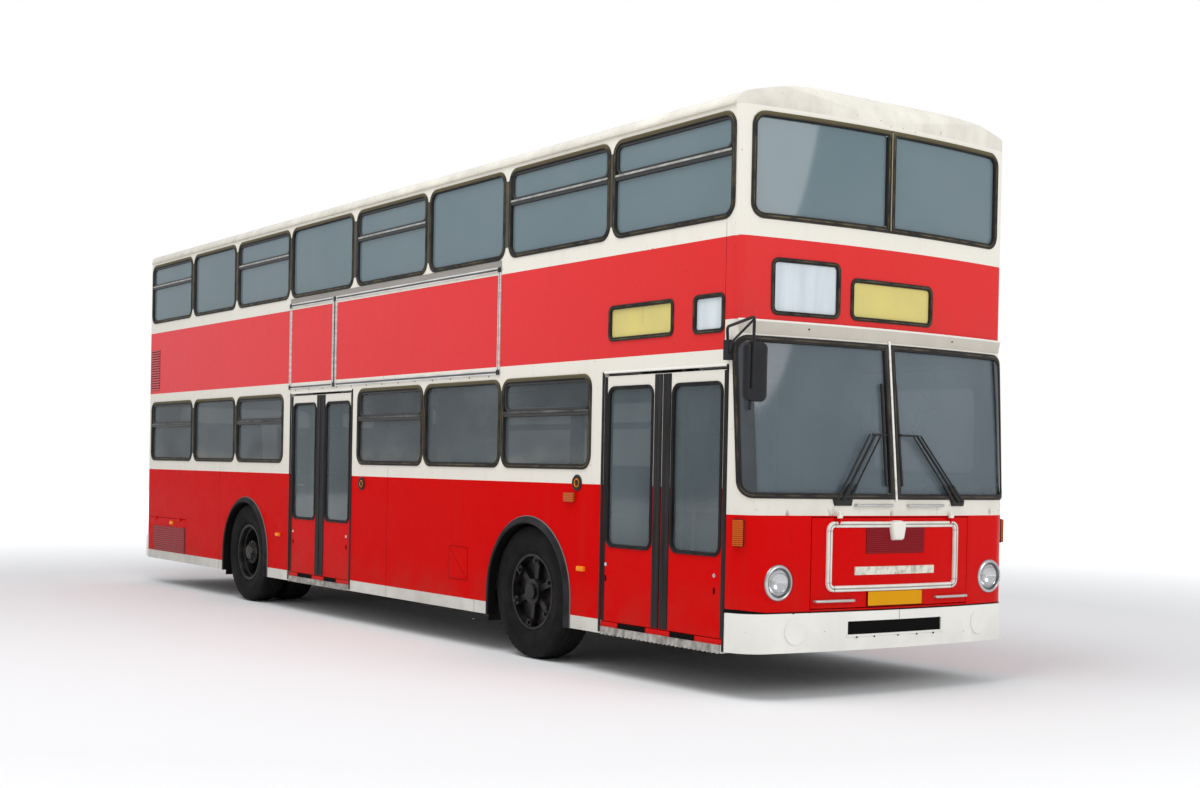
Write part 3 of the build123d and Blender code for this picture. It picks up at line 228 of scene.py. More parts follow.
def grid_faces(rows, columns, wrap_u, wrap_v, cap):
    """Quads between neighbours of a rows by columns grid; wrapped ways close on themselves."""
    index = np.arange(rows * columns).reshape(rows, columns)
    u = index if wrap_u else index[:-1]
    right = np.roll(index, -1, axis=0) if wrap_u else index[1:]
    a, b = (u, right) if wrap_v else (u[:, :-1], right[:, :-1])
    d = np.roll(u, -1, axis=1) if wrap_v else u[:, 1:]
    c = np.roll(right, -1, axis=1) if wrap_v else right[:, 1:]
    faces = np.stack([a, b, c, d], axis=-1).reshape(-1, 4).tolist()
    if cap:
        faces += [index[0].tolist(), index[-1][::-1].tolist()]
    return faces


def sheet_part(points, wrap_u=False, wrap_v=False, cap=False):
    """One surface of a piece: a grid of points, its faces and how far across its section it is."""
    rows, columns = points.shape[:2]
    across = np.tile(np.linspace(0.0, 1.0, columns), rows)
    return points.reshape(-1, 3), grid_faces(rows, columns, wrap_u, wrap_v, cap), across


def piece(name, parts, finish, body="root", smooth=35.0, bevel=0.0, close=True):
    """Surfaces joined into one mesh that rides on a body; edges sharper than smooth stay sharp."""
    base, faces = 0, []
    for points, part_faces, _ in parts:
        faces += [[base + corner for corner in face] for face in part_faces]
        base += len(points)
    mesh = bpy.data.meshes.new(name)
    mesh.from_pydata(np.concatenate([part[0] for part in parts]).tolist(), [], faces)
    across = np.concatenate([part[2] for part in parts])
    mesh.attributes.new("across", "FLOAT", "POINT").data.foreach_set("value", across)
    if close:
        work = bmesh.new()
        work.from_mesh(mesh)
        bmesh.ops.remove_doubles(work, verts=work.verts, dist=1e-5)
        bmesh.ops.recalc_face_normals(work, faces=work.faces)
        work.to_mesh(mesh)
        work.free()
    mesh.polygons.foreach_set("use_smooth", np.ones(len(mesh.polygons), bool))
    mesh.set_sharp_from_angle(angle=np.radians(smooth))
    mesh.materials.append(finish.material)
    thing = bpy.data.objects.new(name, mesh)
    bpy.context.scene.collection.objects.link(thing)
    if bevel:
        rounding = thing.modifiers.new("rounding", "BEVEL")
        rounding.width, rounding.segments, rounding.limit_method = bevel, 2, "ANGLE"
        rounding.harden_normals = True
    if body:
        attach(thing, body)
    return thing


def dress(finish, *nodes):
    """Give CAD nodes a finish."""
    for node in nodes:
        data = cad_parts[node].data
        data.materials.clear()
        data.materials.append(finish.material)


floor_finish = Finish("pale_floor", 0.9).colour((0.86, 0.86, 0.86, 1.0))
# the floor turns into plain white light well away from the bus, so that no horizon line shows
squares = [floor_finish.times(axis, axis) for axis in (floor_finish.x, floor_finish.y)]
away = floor_finish.math("SQRT", floor_finish.math("ADD", *squares))
floor_finish.set("Emission Color", (1.0, 1.0, 1.0, 1.0))
floor_finish.set("Emission Strength", floor_finish.ramp(away, 7.5, 26.0))
turn = np.linspace(0, 2 * np.pi, 64, endpoint=False)
disc = np.stack([np.cos(turn), np.sin(turn), 0 * turn], axis=1)[:, None] * np.array([[0.01], [60.0]])
floor = piece("floor", [sheet_part(disc, wrap_u=True)], floor_finish, body=None, close=False)
floor.data.flip_normals()

# ----- painted body panels
# Pressed steel and glass fibre panels sprayed in gloss enamel: cream with red bands along both
# decks.  The upper red has gone pink in the sun, and road dirt lies along the skirt.
CREAM = linear(228, 224, 213)
SKIRT_CREAM = linear(214, 213, 205)
LOWER_RED = linear(207, 4, 5)
UPPER_RED, UPPER_RED_FADED = linear(216, 54, 54), linear(228, 84, 88)
DIRT, RUST = linear(96, 84, 68), linear(120, 62, 30)
# heights where the colour changes, lowest first: skirt, lower red, cream, upper red, cream
SIDE_BANDS = (0.391, 1.3575, 2.259, 2.9865)
FRONT_TOP_BAND = 2.990


def enamel(name, base_height, bands, dirt=1.0, edge_rust=None, bleached=None):
    """Gloss enamel whose colour changes at the given heights; bands is [(height, colour), ...].

    On it lie faint run marks, dirt that thickens towards the skirt and a few rust specks; edge_rust is
    the pair of heights over which rust fades out upwards from a lower edge, and between the two bleached
    heights the sun has turned the red pinker the further aft it is."""
    paint = Finish(name, 0.28, slot="body_paint")
    paint.gloss(0.04)
    shown = bands[0][1]
    for height, tone in bands[1:]:
        shown = paint.mix(paint.math("GREATER_THAN", paint.z, height), shown, tone)
    if bleached:
        inside = paint.times(paint.math("GREATER_THAN", paint.z, bleached[0]),
                             paint.math("LESS_THAN", paint.z, bleached[1]))
        shown = paint.mix(paint.times(inside, paint.ramp(paint.x, 5.0, -4.8)), shown, UPPER_RED_FADED)
    shown = paint.mix(paint.ramp(paint.noise(0.9), 0.35, 0.75, 0.0, 0.03), shown, linear(96, 74, 62))
    runs = paint.noise(2.2, 4.0, (6.0, 6.0, 0.35))
    shown = paint.mix(paint.ramp(runs, 0.56, 0.80, 0.0, 0.08 * dirt), shown, DIRT)
    low = paint.ramp(paint.z, base_height + 0.38, base_height)
    cloud = paint.ramp(paint.noise(3.5, 5.0), 0.35, 0.70)
    shown = paint.mix(paint.times(paint.times(low, cloud), 0.26 * dirt), shown, DIRT)
    shown = paint.mix(paint.ramp(paint.noise(38.0, 2.0), 0.735, 0.76, 0.0, 0.75), shown, RUST)
    if edge_rust:
        spots = paint.ramp(paint.noise(13.0, 4.0, (1.0, 1.0, 0.4)), 0.60, 0.72)
        near = paint.ramp(paint.z, edge_rust[1], edge_rust[0])
        shown = paint.mix(paint.times(paint.times(spots, near), 0.85), shown, RUST)
    paint.colour(shown)
    paint.set("Roughness", paint.ramp(paint.noise(5.0, 4.0), 0.3, 0.8, 0.22, 0.40))
    return paint.bump(paint.noise(1.1, 2.0), 0.0020, 0.20)


side_tones = (SKIRT_CREAM, LOWER_RED, CREAM, UPPER_RED, CREAM)
side_paint = enamel("side_enamel", 0.29, [*zip((0.0, *SIDE_BANDS), side_tones)], bleached=SIDE_BANDS[2:4])
side_paint.gloss(0.01)
dress(side_paint, "left_lower_wall", "right_lower_wall", "left_upper_wall", "right_upper_wall",
      "rear_wall", "left_engine_flap", "right_engine_flap", "engine_lid")
dress(enamel("apron_enamel", 0.5, [(0.0, LOWER_RED)], 0.6), "front_apron", "front_hatch")
dress(enamel("screen_frame_enamel", 1.1, [(0.0, CREAM)], 0.7, (1.200, 1.262)), "screen_frame")
dress(enamel("upper_front_enamel", 2.4, [(0.0, UPPER_RED), (FRONT_TOP_BAND, CREAM)], 0.5), "upper_front")
dress(enamel("roof_enamel", 3.8, [(0.0, CREAM)], 1.2), "roof")
bumper_paint = enamel("bumper_enamel", 0.3, [(0.0, linear(238, 237, 230))], 0.5)
dress(bumper_paint, "bumpers")

# ----- window seals
# Every fixed pane sits in a thick black rubber profile with a filler strip pressed into its middle
# groove.  Years of road film have turned the groove and the upper lips olive and brown; the olive line
# in the groove is that film together with a painted highlight where the groove catches light.
HALF_WIDTH, TAIL = 1.250, -5.700
LOWER_NOSE, UPPER_NOSE = 5.585, 5.467
LOWER_CORNER, UPPER_CORNER = 0.210, 0.068
BOW_DROP = 0.102
BOW_RADIUS = (HALF_WIDTH ** 2 + BOW_DROP ** 2) / (2 * BOW_DROP)
APRON_TOP, HEADER_TOP = 1.193, 2.450
NORMAL_STEP = 0.002


def mm(*numbers):
    """Pairs of numbers in millimetres as points in metres."""
    return np.reshape(numbers, (-1, 2)) / 1000


def spread(*values):
    """Numbers and arrays as float arrays of one shape."""
    return np.broadcast_arrays(*(np.asarray(value, float) for value in values))


def nose_plan(nose, corner, p):
    """Half plan of the nose: for p up to 1 a flat arc from the centre line, then the corner's arc."""
    centre = nose - BOW_RADIUS
    corner_y = HALF_WIDTH - corner
    corner_x = centre + np.sqrt((BOW_RADIUS - corner) ** 2 - corner_y ** 2)
    meet = np.arcsin(corner_y / (BOW_RADIUS - corner))
    bow = np.clip(p, 0, 1) * meet
    turn = meet + np.clip(p - 1, 0, 1) * (np.pi / 2 - meet)
    x = np.where(p <= 1, centre + BOW_RADIUS * np.cos(bow), corner_x + corner * np.cos(turn))
    y = np.where(p <= 1, BOW_RADIUS * np.sin(bow), corner_y + corner * np.sin(turn))
    return x, y


def lean(z):
    """Share of the way from the apron's top to the header's top at height z."""
    return np.clip((z - APRON_TOP) / (HEADER_TOP - APRON_TOP), 0, 1)


def leaning_plan(p, z):
    """Half plan at height z: from the apron's plan to the header's it leans back evenly."""
    x0, y0 = nose_plan(LOWER_NOSE, LOWER_CORNER, p)
    x1, y1 = nose_plan(UPPER_NOSE, UPPER_CORNER, p)
    return x0 + lean(z) * (x1 - x0), y0 + lean(z) * (y1 - y0)


def nose_depth(y, z):
    """X of the nose at width y and height z, by halving the stretch of plan that holds the width."""
    low, high = np.zeros_like(y), np.full_like(y, 2.0)
    for _ in range(28):
        middle = (low + high) / 2
        short = leaning_plan(middle, z)[1] < np.abs(y)
        low, high = np.where(short, middle, low), np.where(short, high, middle)
    return leaning_plan(low, z)[0]


def on_nose(s, t, h):
    """Width s, height t and distance h off the nose, along its normal, as points."""
    s, t, h = spread(s, t, h)
    slopes = [(nose_depth(s + a, t + b) - nose_depth(s - a, t - b)) / (2 * NORMAL_STEP)
              for a, b in ((NORMAL_STEP, 0), (0, NORMAL_STEP))]
    normal = np.stack([np.ones_like(s), -slopes[0], -slopes[1]], axis=-1)
    normal /= np.linalg.norm(normal, axis=-1, keepdims=True)
    return np.stack([nose_depth(s, t), s, t], axis=-1) + normal * h[..., None]


def on_side(side):
    """Distance along the bus s, height t and distance h off one side wall, as points."""
    def place(s, t, h):
        s, t, h = spread(s, t, h)
        return np.stack([s, side * (HALF_WIDTH + h), t], axis=-1)
    return place


def on_tail(s, t, h):
    """Width s, height t and distance h off the rear wall, as points."""
    s, t, h = spread(s, t, h)
    return np.stack([TAIL - h, s, t], axis=-1)


def rounded_loop(s0, s1, t0, t1, radius, steps=7, between=5):
    """Points round a rectangle with quarter circle corners, and the outward direction at each; radius
    may be one for each corner, anticlockwise from (s1, t1), and a corner of radius 0 is a mitre."""
    signs = np.array([(1, 1), (-1, 1), (-1, -1), (1, -1)], float)
    corners = [(s1, t1), (s0, t1), (s0, t0), (s1, t0)]
    bends = []
    for quarter, (corner, sign, r) in enumerate(zip(corners, signs, np.broadcast_to(radius, 4))):
        turn = np.linspace(quarter, quarter + 1, steps) * np.pi / 2
        way = np.stack([np.cos(turn), np.sin(turn)], axis=-1) if r else sign[None]
        bends.append((corner - r * sign + r * way, way) if r else (np.array([corner], float), way))
    points, ways = [], []
    for quarter, (arc, way) in enumerate(bends):
        following = bends[(quarter + 1) % 4][0][0]
        share = np.linspace(0, 1, between + 2)[1:-1, None]
        straight = (signs[quarter] + signs[(quarter + 1) % 4]) / 2
        points += [arc, arc[-1] + share * (following - arc[-1])]
        ways += [way, np.repeat(straight[None], between, axis=0)]
    return np.concatenate(points), np.concatenate(ways)


def inner_mitres(side, radius):
    """Radii of rounded_loop for a pane whose corners next to the middle post are square."""
    return (radius, 0.0, 0.0, radius) if side > 0 else (0.0, radius, radius, 0.0)


def square_corner(s, t, way_s, way_t, radius, place):
    """Fill between a quarter circle and the square corner (s, t) round it: rays from the circle's
    middle run from the arc to the square's sides."""
    turn = np.linspace(0, np.pi / 2, 13)[:, None]
    ray = np.stack([way_s * np.cos(turn), way_t * np.sin(turn)], axis=-1)
    far = 1 / np.maximum(np.cos(turn), np.sin(turn))
    reach = radius * (0.97 + np.linspace(0, 1, 5) * (far - 0.97))
    grid = np.array([s - way_s * radius, t - way_t * radius]) + ray * reach[..., None]
    return sheet_part(place(grid[..., 0], grid[..., 1], 0.0015))


def carried(loop, section, place, closed=True):
    """A section carried along a loop: each point is the loop's, moved out by u, at height h."""
    points, ways = loop
    u, h = section.T
    return sheet_part(place(points[:, :1] + ways[:, :1] * u, points[:, 1:] + ways[:, 1:] * u, h),
                      wrap_u=closed, wrap_v=True, cap=not closed)


def bar(ends, section, place, steps=2, upright=False):
    """A section carried level or upright from end to end; it is given across the bar and off the panel."""
    across, off = np.asarray(section, float).T
    along = np.linspace(*ends, steps)[:, None]
    s, t = (across, along) if upright else (along, across)
    return sheet_part(place(*spread(s, t, off)), wrap_v=True, cap=True)


UPPER_GLASS_Z, LOWER_GLASS_Z = (3.099, 3.801), (1.461, 2.161)
UPPER_PANES = mm(-5620, -4291, -4244, -2993, -2943, -1589, -1556, -162,
                 -108, 1247, 1278, 2519, 2565, 3944, 3969, 5330)
KERB_PANES = mm(-5595, -4232, -4185, -2971, -2930, -1699, -37, 1220, 1236, 2495, 2509, 3755)
ROAD_PANES = mm(-5595, -4232, -4185, -2971, -1480, -162, -37, 1220, 1236, 2300, 4060, 5180)
SEAL_CORNER = 0.107
# rubber sections: inward from the outer edge (negative is inward), height off the panel
SEAL_SECTION = mm(0, -1, -1, 6, -6, 10, -13, 10.5, -18, 6.5, -24, 6.5, -29, 10, -35, 8.5, -39, 3,
                  -40, -13.5, -13, -13.5, -11, -1)
BOX_SECTION = mm(0, -1, 0, 8, -4, 11, -10, 11, -14, 7, -20, 7, -24, 10, -28, 6, -29, -10, -6, -10)

rubber = Finish("seal_rubber", 0.62, slot="black_plastic").gloss(0.2)
groove = rubber.across()
outer_lip = rubber.times(rubber.ramp(groove, 0.20, 0.10), 0.55)
# the band along the groove is road film and a painted highlight where the groove catches light
groove_highlight_and_dust = rubber.times(rubber.math("MAXIMUM", rubber.band(groove, 0.30, 0.36, 0.46, 0.52), outer_lip),
                     rubber.ramp(rubber.noise(9.0, 4.0), 0.38, 0.62))
black = rubber.mix(rubber.ramp(rubber.noise(4.0), 0.3, 0.8), linear(24, 23, 24), linear(50, 47, 44))
lower_tops = rubber.times(rubber.ramp(rubber.z, 2.105, 2.140), rubber.math("LESS_THAN", rubber.z, 2.300))
tops = rubber.math("MAXIMUM", rubber.ramp(rubber.z, 3.740, 3.785), lower_tops)
mossy = rubber.times(tops, rubber.ramp(groove, 0.60, 0.45))
aged = rubber.math("MAXIMUM", rubber.times(groove_highlight_and_dust, 0.70), rubber.times(mossy, 0.62))
rubber.colour(rubber.mix(aged, black, linear(112, 102, 70)))
rubber.bump(rubber.noise(60.0), 0.0006, 0.5)

pane_rows = [(on_side(side), height, panes)
             for side, lower in ((-1, KERB_PANES), (1, ROAD_PANES))
             for height, panes in ((UPPER_GLASS_Z, UPPER_PANES), (LOWER_GLASS_Z, lower))]
piece("side_window_seals", [carried(rounded_loop(*pane, *height, SEAL_CORNER), SEAL_SECTION, place)
                            for place, height, panes in pane_rows for pane in panes], rubber)
REAR_PANES = [(-0.980, -0.015, *UPPER_GLASS_Z), (0.015, 0.980, *UPPER_GLASS_Z), (-0.900, 0.900, *LOWER_GLASS_Z)]
piece("rear_window_seals", [carried(rounded_loop(*pane, SEAL_CORNER), SEAL_SECTION, on_tail)
                            for pane in REAR_PANES], rubber)

# between two panes the lips of their rubbers meet and hide the pillar, with a groove where they touch
post_rubber = mottled("post_rubber", 0.62, "black_plastic", (58, 56, 52), (96, 93, 84), (7.0, 4.0), gloss=0.2)
PILLAR_MOST, LIP_LAP, LIP_END, LIP_GROOVE = 0.060, 0.003, 0.092, 0.003


def pillar_lips(s0, s1, t0, t1, place):
    """Two flat lips between the seals at s0 and s1, from t0 up to t1, with a groove in the middle."""
    middle, low, high = (s0 + s1) / 2, s0 - LIP_LAP, s1 + LIP_LAP
    across = [low, low, middle - LIP_GROOVE, middle, middle + LIP_GROOVE, high, high]
    off = [-0.001, 0.004, 0.005, 0.002, 0.005, 0.004, -0.001]
    return bar((t0 + LIP_END, t1 - LIP_END), np.stack([across, off], axis=-1), place, 6, upright=True)


piece("pillar_rubber_lips", [pillar_lips(s0, s1, *height, place) for place, height, panes in pane_rows
                             for (_, s0), (s1, _) in zip(panes, panes[1:]) if s1 - s0 < PILLAR_MOST], post_rubber)

UPPER_FRONT = (0.001, 1.162, 3.105, 3.800)
CUT_INSET, CUT_CORNER = 0.012, 0.090
front_parts, fills = [], []
for side in (-1, 1):
    ends = sorted((side * UPPER_FRONT[0], side * UPPER_FRONT[1]))
    loop = rounded_loop(*ends, *UPPER_FRONT[2:], inner_mitres(side, 0.100), 9, 12)
    front_parts.append(carried(loop, SEAL_SECTION, on_nose))
    fills += [square_corner(side * 0.020, z, -side, way, CUT_CORNER, on_nose)
              for z, way in ((UPPER_FRONT[2] + CUT_INSET, -1), (UPPER_FRONT[3] - CUT_INSET, 1))]
piece("upper_front_seals", front_parts, rubber)
# opaque patches in the square corners, painted with the pale blue-grey sky reflection that the glass beside them
# shows
pale_glass = mottled("upper_corner_painted_reflection", 0.08, "black_plastic", (108, 126, 134), (116, 134, 142), (1.5,),
                     gloss=0.2)
piece("upper_front_corner_panes", fills, pale_glass, close=False)
filler = mottled("aged_filler_strip", 0.6, "black_plastic", (176, 166, 134), (120, 110, 84), (9.0, 4.0))
piece("upper_front_filler", [bar((UPPER_FRONT[2] + 0.016, UPPER_FRONT[3] - 0.016),
                                 mm(-7, 4, -6, 13, 0, 13, 1, 4), on_nose, 12, upright=True)], filler)

DISPLAYS_SIDE = [(3.964, 4.696, 2.387, 2.617), (4.932, 5.235, 2.382, 2.618)]
DISPLAYS_FRONT = [(-0.984, -0.450, 2.502, 2.852), (-0.335, 0.420, 2.505, 2.765)]
DISPLAY_LAP = np.array([-0.012, 0.012, -0.012, 0.012])
piece("display_seals", [carried(rounded_loop(*(np.array(window) + DISPLAY_LAP), *corner), BOX_SECTION, place)
                        for windows, corner, place in ((DISPLAYS_SIDE, (0.047,), on_side(-1)),
                                                       (DISPLAYS_FRONT, (0.052, 7, 7), on_nose))
                        for window in windows], rubber)

# ----- glazing
# Toughened glass, faintly green and filmed with dust, with the sky's reflection painted into its
# blue-grey colour; the upper panes, which throw back most of the sky, are painted paler and denser.
# Hopper windows have a hinged upper light in a black frame over a bright aluminium bar.


def filmed_glass(name, tone, veil):
    """Tinted glass with a painted sky reflection in its colour: veil is how much of what lies behind is
    hidden by dust and by the painted reflection.
    """
    glass = Finish(name, 0.06)
    cloud = glass.ramp(glass.noise(0.8, 3.0, (1.0, 1.0, 0.6)), 0.3, 0.75)
    glass.colour(glass.mix(glass.times(cloud, 0.35), linear(*tone), linear(150, 166, 172)))
    edge_dust = glass.ramp(glass.noise(3.0, 5.0), 0.35, 0.8, -0.05, 0.06)
    return glass.set("Alpha", glass.math("ADD", edge_dust, veil))


dress(filmed_glass("screen_glass", (92, 104, 112), 0.66), "windscreen")
LEAVES = [(door, leaf) for door in ("front_door", "mid_door") for leaf in ("aft", "fore")]
dress(filmed_glass("door_glass", (60, 74, 78), 0.58), *[f"{door}_{leaf}_glass" for door, leaf in LEAVES])
pane_glass = Finish("window_glass", 0.06)
BETWEEN_DECKS = 2.6
# upper panes: their pale blue-grey tint is a painted sky reflection, and they are made denser
high = pane_glass.math("GREATER_THAN", pane_glass.z, BETWEEN_DECKS)
cloud = pane_glass.times(pane_glass.ramp(pane_glass.noise(0.8), 0.3, 0.75), 0.35)
tint_and_sky_reflection = pane_glass.mix(high, linear(68, 79, 83), linear(106, 126, 133))
shown = pane_glass.mix(cloud, tint_and_sky_reflection, linear(140, 152, 156))
# lower panes: pale patches near their foot are painted light, and the dark patches mixed in below are painted shade
foot_light = pane_glass.times(pane_glass.ramp(pane_glass.z, 1.66, 1.50),
                              pane_glass.ramp(pane_glass.noise(1.3, 4.0, (1.0, 1.0, 2.2)), 0.46, 0.62))
shown = pane_glass.mix(pane_glass.times(foot_light, 0.55), shown, linear(150, 148, 136))
shade = pane_glass.times(pane_glass.math("LESS_THAN", pane_glass.z, BETWEEN_DECKS),
                         pane_glass.ramp(pane_glass.noise(0.9, 3.0, (1.0, 1.0, 1.8)), 0.48, 0.64))
pane_glass.colour(pane_glass.mix(pane_glass.times(shade, 0.55), shown, linear(44, 50, 54)))
pane_glass.set("Alpha", pane_glass.ramp(high, 0.0, 1.0, 0.60, 0.80))
dress(pane_glass, "window_glass")

HOPPERS_UPPER, HOPPERS_KERB, HOPPERS_ROAD = [0, 2, 4, 6, 7], [0, 2, 3, 5], [0, 2, 3]
UPPER_BAR_Z, LOWER_BAR_Z = 3.532, 1.882
BAR_INSET = 0.036
BRIGHT_LIP = mm(2, -12, 22, -12, 20, 8, 4, 12)
DARK_LIP = mm(-24, -13.5, 1, -13.5, 1, 9, -20, 5)
HOPPER_SECTION = mm(0, -13.5, 0, -2, -4, 1, -18, 1, -21, -13.5)
bright_parts, dull_parts, dark_parts = [], [], []
for side, lower, hoppers in ((-1, KERB_PANES, HOPPERS_KERB), (1, ROAD_PANES, HOPPERS_ROAD)):
    place = on_side(side)
    rows = [(UPPER_PANES[i], UPPER_BAR_Z, UPPER_GLASS_Z[1], bright_parts) for i in HOPPERS_UPPER]
    rows += [(lower[i], LOWER_BAR_Z, LOWER_GLASS_Z[1], dull_parts) for i in hoppers]
    for (s0, s1), level, top, metal in rows:
        s0, s1 = s0 + BAR_INSET, s1 - BAR_INSET
        metal.append(bar((s0, s1), BRIGHT_LIP + (level, 0), place))
        dark_parts.append(bar((s0, s1), DARK_LIP + (level, 0), place))
        loop = rounded_loop(s0 + 0.002, s1 - 0.002, level + 0.018, top - 0.038, 0.060)
        dark_parts.append(carried(loop, HOPPER_SECTION, place))
piece("hopper_bars", bright_parts, mottled("weathered_aluminium", 0.38, "rail_aluminium", (196, 196, 192),
                                           (150, 148, 142), (14.0, 4.0), (0.35, 0.7), 0.75))
piece("lower_hopper_bars", dull_parts, mottled("grimed_aluminium", 0.5, "rail_aluminium", (104, 104, 100),
                                               (46, 48, 46), (6.0, 5.0), (0.35, 0.65), 0.4))
piece("hopper_frames", dark_parts, mottled("black_window_frame", 0.5, "black_plastic", (20, 20, 22),
                                           (44, 43, 42), (12.0,)))

# ----- roof gutter and eaves strip
# Folded steel rain gutter screwed along both eaves, painted with the body and heavily streaked with
# dirt.
gutter_paint = enamel("gutter_enamel", 3.6, [(0.0, linear(214, 210, 196))], 2.0)
GUTTER = mm(3826, 0, 3826, 10, 3832, 16, 3842, 16, 3846, 12, 3840, 10, 3838, 0)
GUTTER_ENDS = (-5.63, 5.32)
piece("roof_gutters", [bar(GUTTER_ENDS, GUTTER, on_side(side)) for side in (-1, 1)], gutter_paint)

# ----- wheel arch trims
# Thick rubber mouldings screwed round the wheel cut-outs, flared outwards, with a thin grey edge
# where the paint stops; their inner lip, turned into the wheel box, is painted near black as shade.
AXLES = (2.927, -2.640)
ARCH_Z, SKIRT_Z, TRIM_R = 0.500, 0.293, 0.542
TRIM_SECTION = mm(0, -45, 0, 22, 6, 29, 16, 31, 34, 22, 47, 12, 53, 8, 58, 3, 58, -1, 45, -1, 42, -45)
arch_rubber = Finish("arch_rubber", 0.7, slot="black_plastic").gloss(0.15)
tone = arch_rubber.mix(arch_rubber.ramp(arch_rubber.noise(6.0, 4.0), 0.3, 0.7),
                       linear(24, 24, 26), linear(50, 50, 52))
# painted shade: the inner lip that turns into the wheel box is darkened to near black
tone = arch_rubber.mix(arch_rubber.ramp(arch_rubber.across(), 0.14, 0.08), tone, linear(7, 7, 8))
edge = arch_rubber.band(arch_rubber.across(), 0.60, 0.64, 0.72, 0.76)
arch_rubber.colour(arch_rubber.mix(arch_rubber.times(edge, 0.6), tone, linear(150, 148, 144)))
arch_rubber.bump(arch_rubber.noise(90.0), 0.0008, 0.5)


def arch_path(x):
    """Up one leg, over a half circle and down the other leg, with outward directions."""
    turn = np.linspace(0, np.pi, 49)
    way = np.stack([np.cos(turn), np.sin(turn)], axis=-1)
    legs = np.linspace(SKIRT_Z, ARCH_Z, 4)[:-1]
    first = np.stack([np.full(3, x + TRIM_R), legs], axis=-1)
    last = np.stack([np.full(3, x - TRIM_R), legs[::-1]], axis=-1)
    ways = np.concatenate([np.tile([1.0, 0.0], (3, 1)), way, np.tile([-1.0, 0.0], (3, 1))])
    return np.concatenate([first, np.array([x, ARCH_Z]) + TRIM_R * way, last]), ways


trims = piece("arch_trim_mouldings", [carried(arch_path(x), TRIM_SECTION, on_side(side), closed=False)
                                     for x in AXLES for side in (-1, 1)], arch_rubber)
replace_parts(trims, "arch_trims")

# ----- tyres
# Ribbed road tyres: four zigzag grooves across the tread, notched shoulders, and a smooth sidewall
# with raised rings, grey with dust.
TYRE_R, TYRE_HALF = 0.515, 0.1375
TYRE_MIDDLE = 1.232 - TYRE_HALF
TWIN_PITCH = 0.325
GROOVES = (-0.072, -0.024, 0.024, 0.072)
# radius and half width from the bead out to the shoulder
SIDEWALL = mm(292, 104, 300, 112, 318, 122, 322, 126, 330, 127, 352, 133.5, 390, 136.5, 394, 137.5,
              400, 136.5, 425, 135.5, 452, 131, 478, 126)
tyre_rubber = mottled("tyre_rubber", 0.8, "tyre", (15, 15, 16), (34, 33, 32), (7.0, 5.0), (0.3, 0.75),
                      gloss=0.12, grain=(70.0, 4.0, 0.0008, 0.5))


def tyre_part(x, y_middle, side):
    """Radius and width run over the section from bead to bead; grooves are narrow dips in radius
    at four widths, swung sideways by a sine of the angle, and the shoulders dip in short notches."""
    around = np.linspace(0, 2 * np.pi, 240, endpoint=False)[:, None]
    wall_r, wall_w = SIDEWALL.T
    tread_w = np.linspace(0.119, -0.119, 45)
    crown = TYRE_R - 0.016 * np.abs(tread_w / 0.119) ** 4
    radius = np.concatenate([wall_r, crown, wall_r[::-1]])[None, :]
    width = np.concatenate([wall_w, tread_w, -wall_w[::-1]])[None, :]
    swing = 0.006 * np.sin(around * 36)
    notch = np.clip(np.sin(around * 60) * 4, 0, 1) * np.clip((np.abs(width) - 0.100) / 0.02, 0, 1)
    depth = 0.007 * notch * (radius > 0.46)
    for groove_at in GROOVES:
        depth = depth + 0.009 * np.exp(-(((width - groove_at - swing) / 0.0042) ** 4)) * (radius > 0.49)
    radius = radius - depth
    points = np.stack([x + radius * np.cos(around), y_middle + side * width + 0 * around,
                       TYRE_R + radius * np.sin(around)], axis=-1)
    return sheet_part(points, wrap_u=True, wrap_v=True)


HANDS = (("left", 1), ("right", -1))
for end, x, pitches in (("front", AXLES[0], (0.0,)), ("rear", AXLES[1], (0.0, TWIN_PITCH))):
    for hand, side in HANDS:
        node = f"{end}_{hand}_tyre" + ("s" if len(pitches) > 1 else "")
        parts = [tyre_part(x, side * (TYRE_MIDDLE - pitch), side) for pitch in pitches]
        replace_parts(piece(f"{node}_treaded", parts, tyre_rubber, f"{end}_{hand}_wheel", smooth=50), node)

wheel_paint = mottled("wheel_paint", 0.45, "wheel_paint", (14, 14, 15), (44, 41, 38), (12.0, 4.0), (0.4, 0.7),
                      gloss=0.25, grain=(40.0, 4.0, 0.001, 0.4))
dress(wheel_paint, "front_left_rim", "front_right_rim", "rear_left_rims", "rear_right_rims",
      "front_left_knuckle", "front_right_knuckle")

# ----- doors
# Two gliding leaves a doorway: an aluminium frame sprayed like the body, a tall pane in rubber,
# a wide folded rubber at the meeting edge and a narrow one at the jamb.
door_paint = enamel("door_enamel", 0.38, [(0.0, LOWER_RED), (SIDE_BANDS[1], CREAM)], 0.8)
door_paint.gloss(0.02)
edge_rubber = mottled("edge_rubber", 0.55, "black_plastic", (18, 17, 19), (44, 42, 42),
                      (5.0, 4.0, (3.0, 3.0, 0.4)), (0.3, 0.75), gloss=0.2)
LEAF_GAP, LEAF_MEET = 0.006, 0.008
LEAF_FACE = -0.010
LEAF_Z, LEAF_PANE_Z = (0.385, 2.130), (0.925, 2.045)
PANE_LAP = 0.014
POST_EDGE, MEET_EDGE = 0.048, 0.112
DOORWAYS = [("front_door", 3.907, 5.283), ("mid_door", -1.520, -0.155)]
kerb = on_side(-1)
MEET_SECTION = mm(0, 0, 2, 7, 20, 10, 40, 6, 46, 6, 66, 11, 84, 8, 86, 0)
JAMB_SECTION = mm(0, 0, 0, 7, 24, 7, 28, 0)
lifted = SEAL_SECTION * (0.66, 1) + (0, LEAF_FACE)
lifted[:, 1] = np.maximum(lifted[:, 1], LEAF_FACE - 0.011)
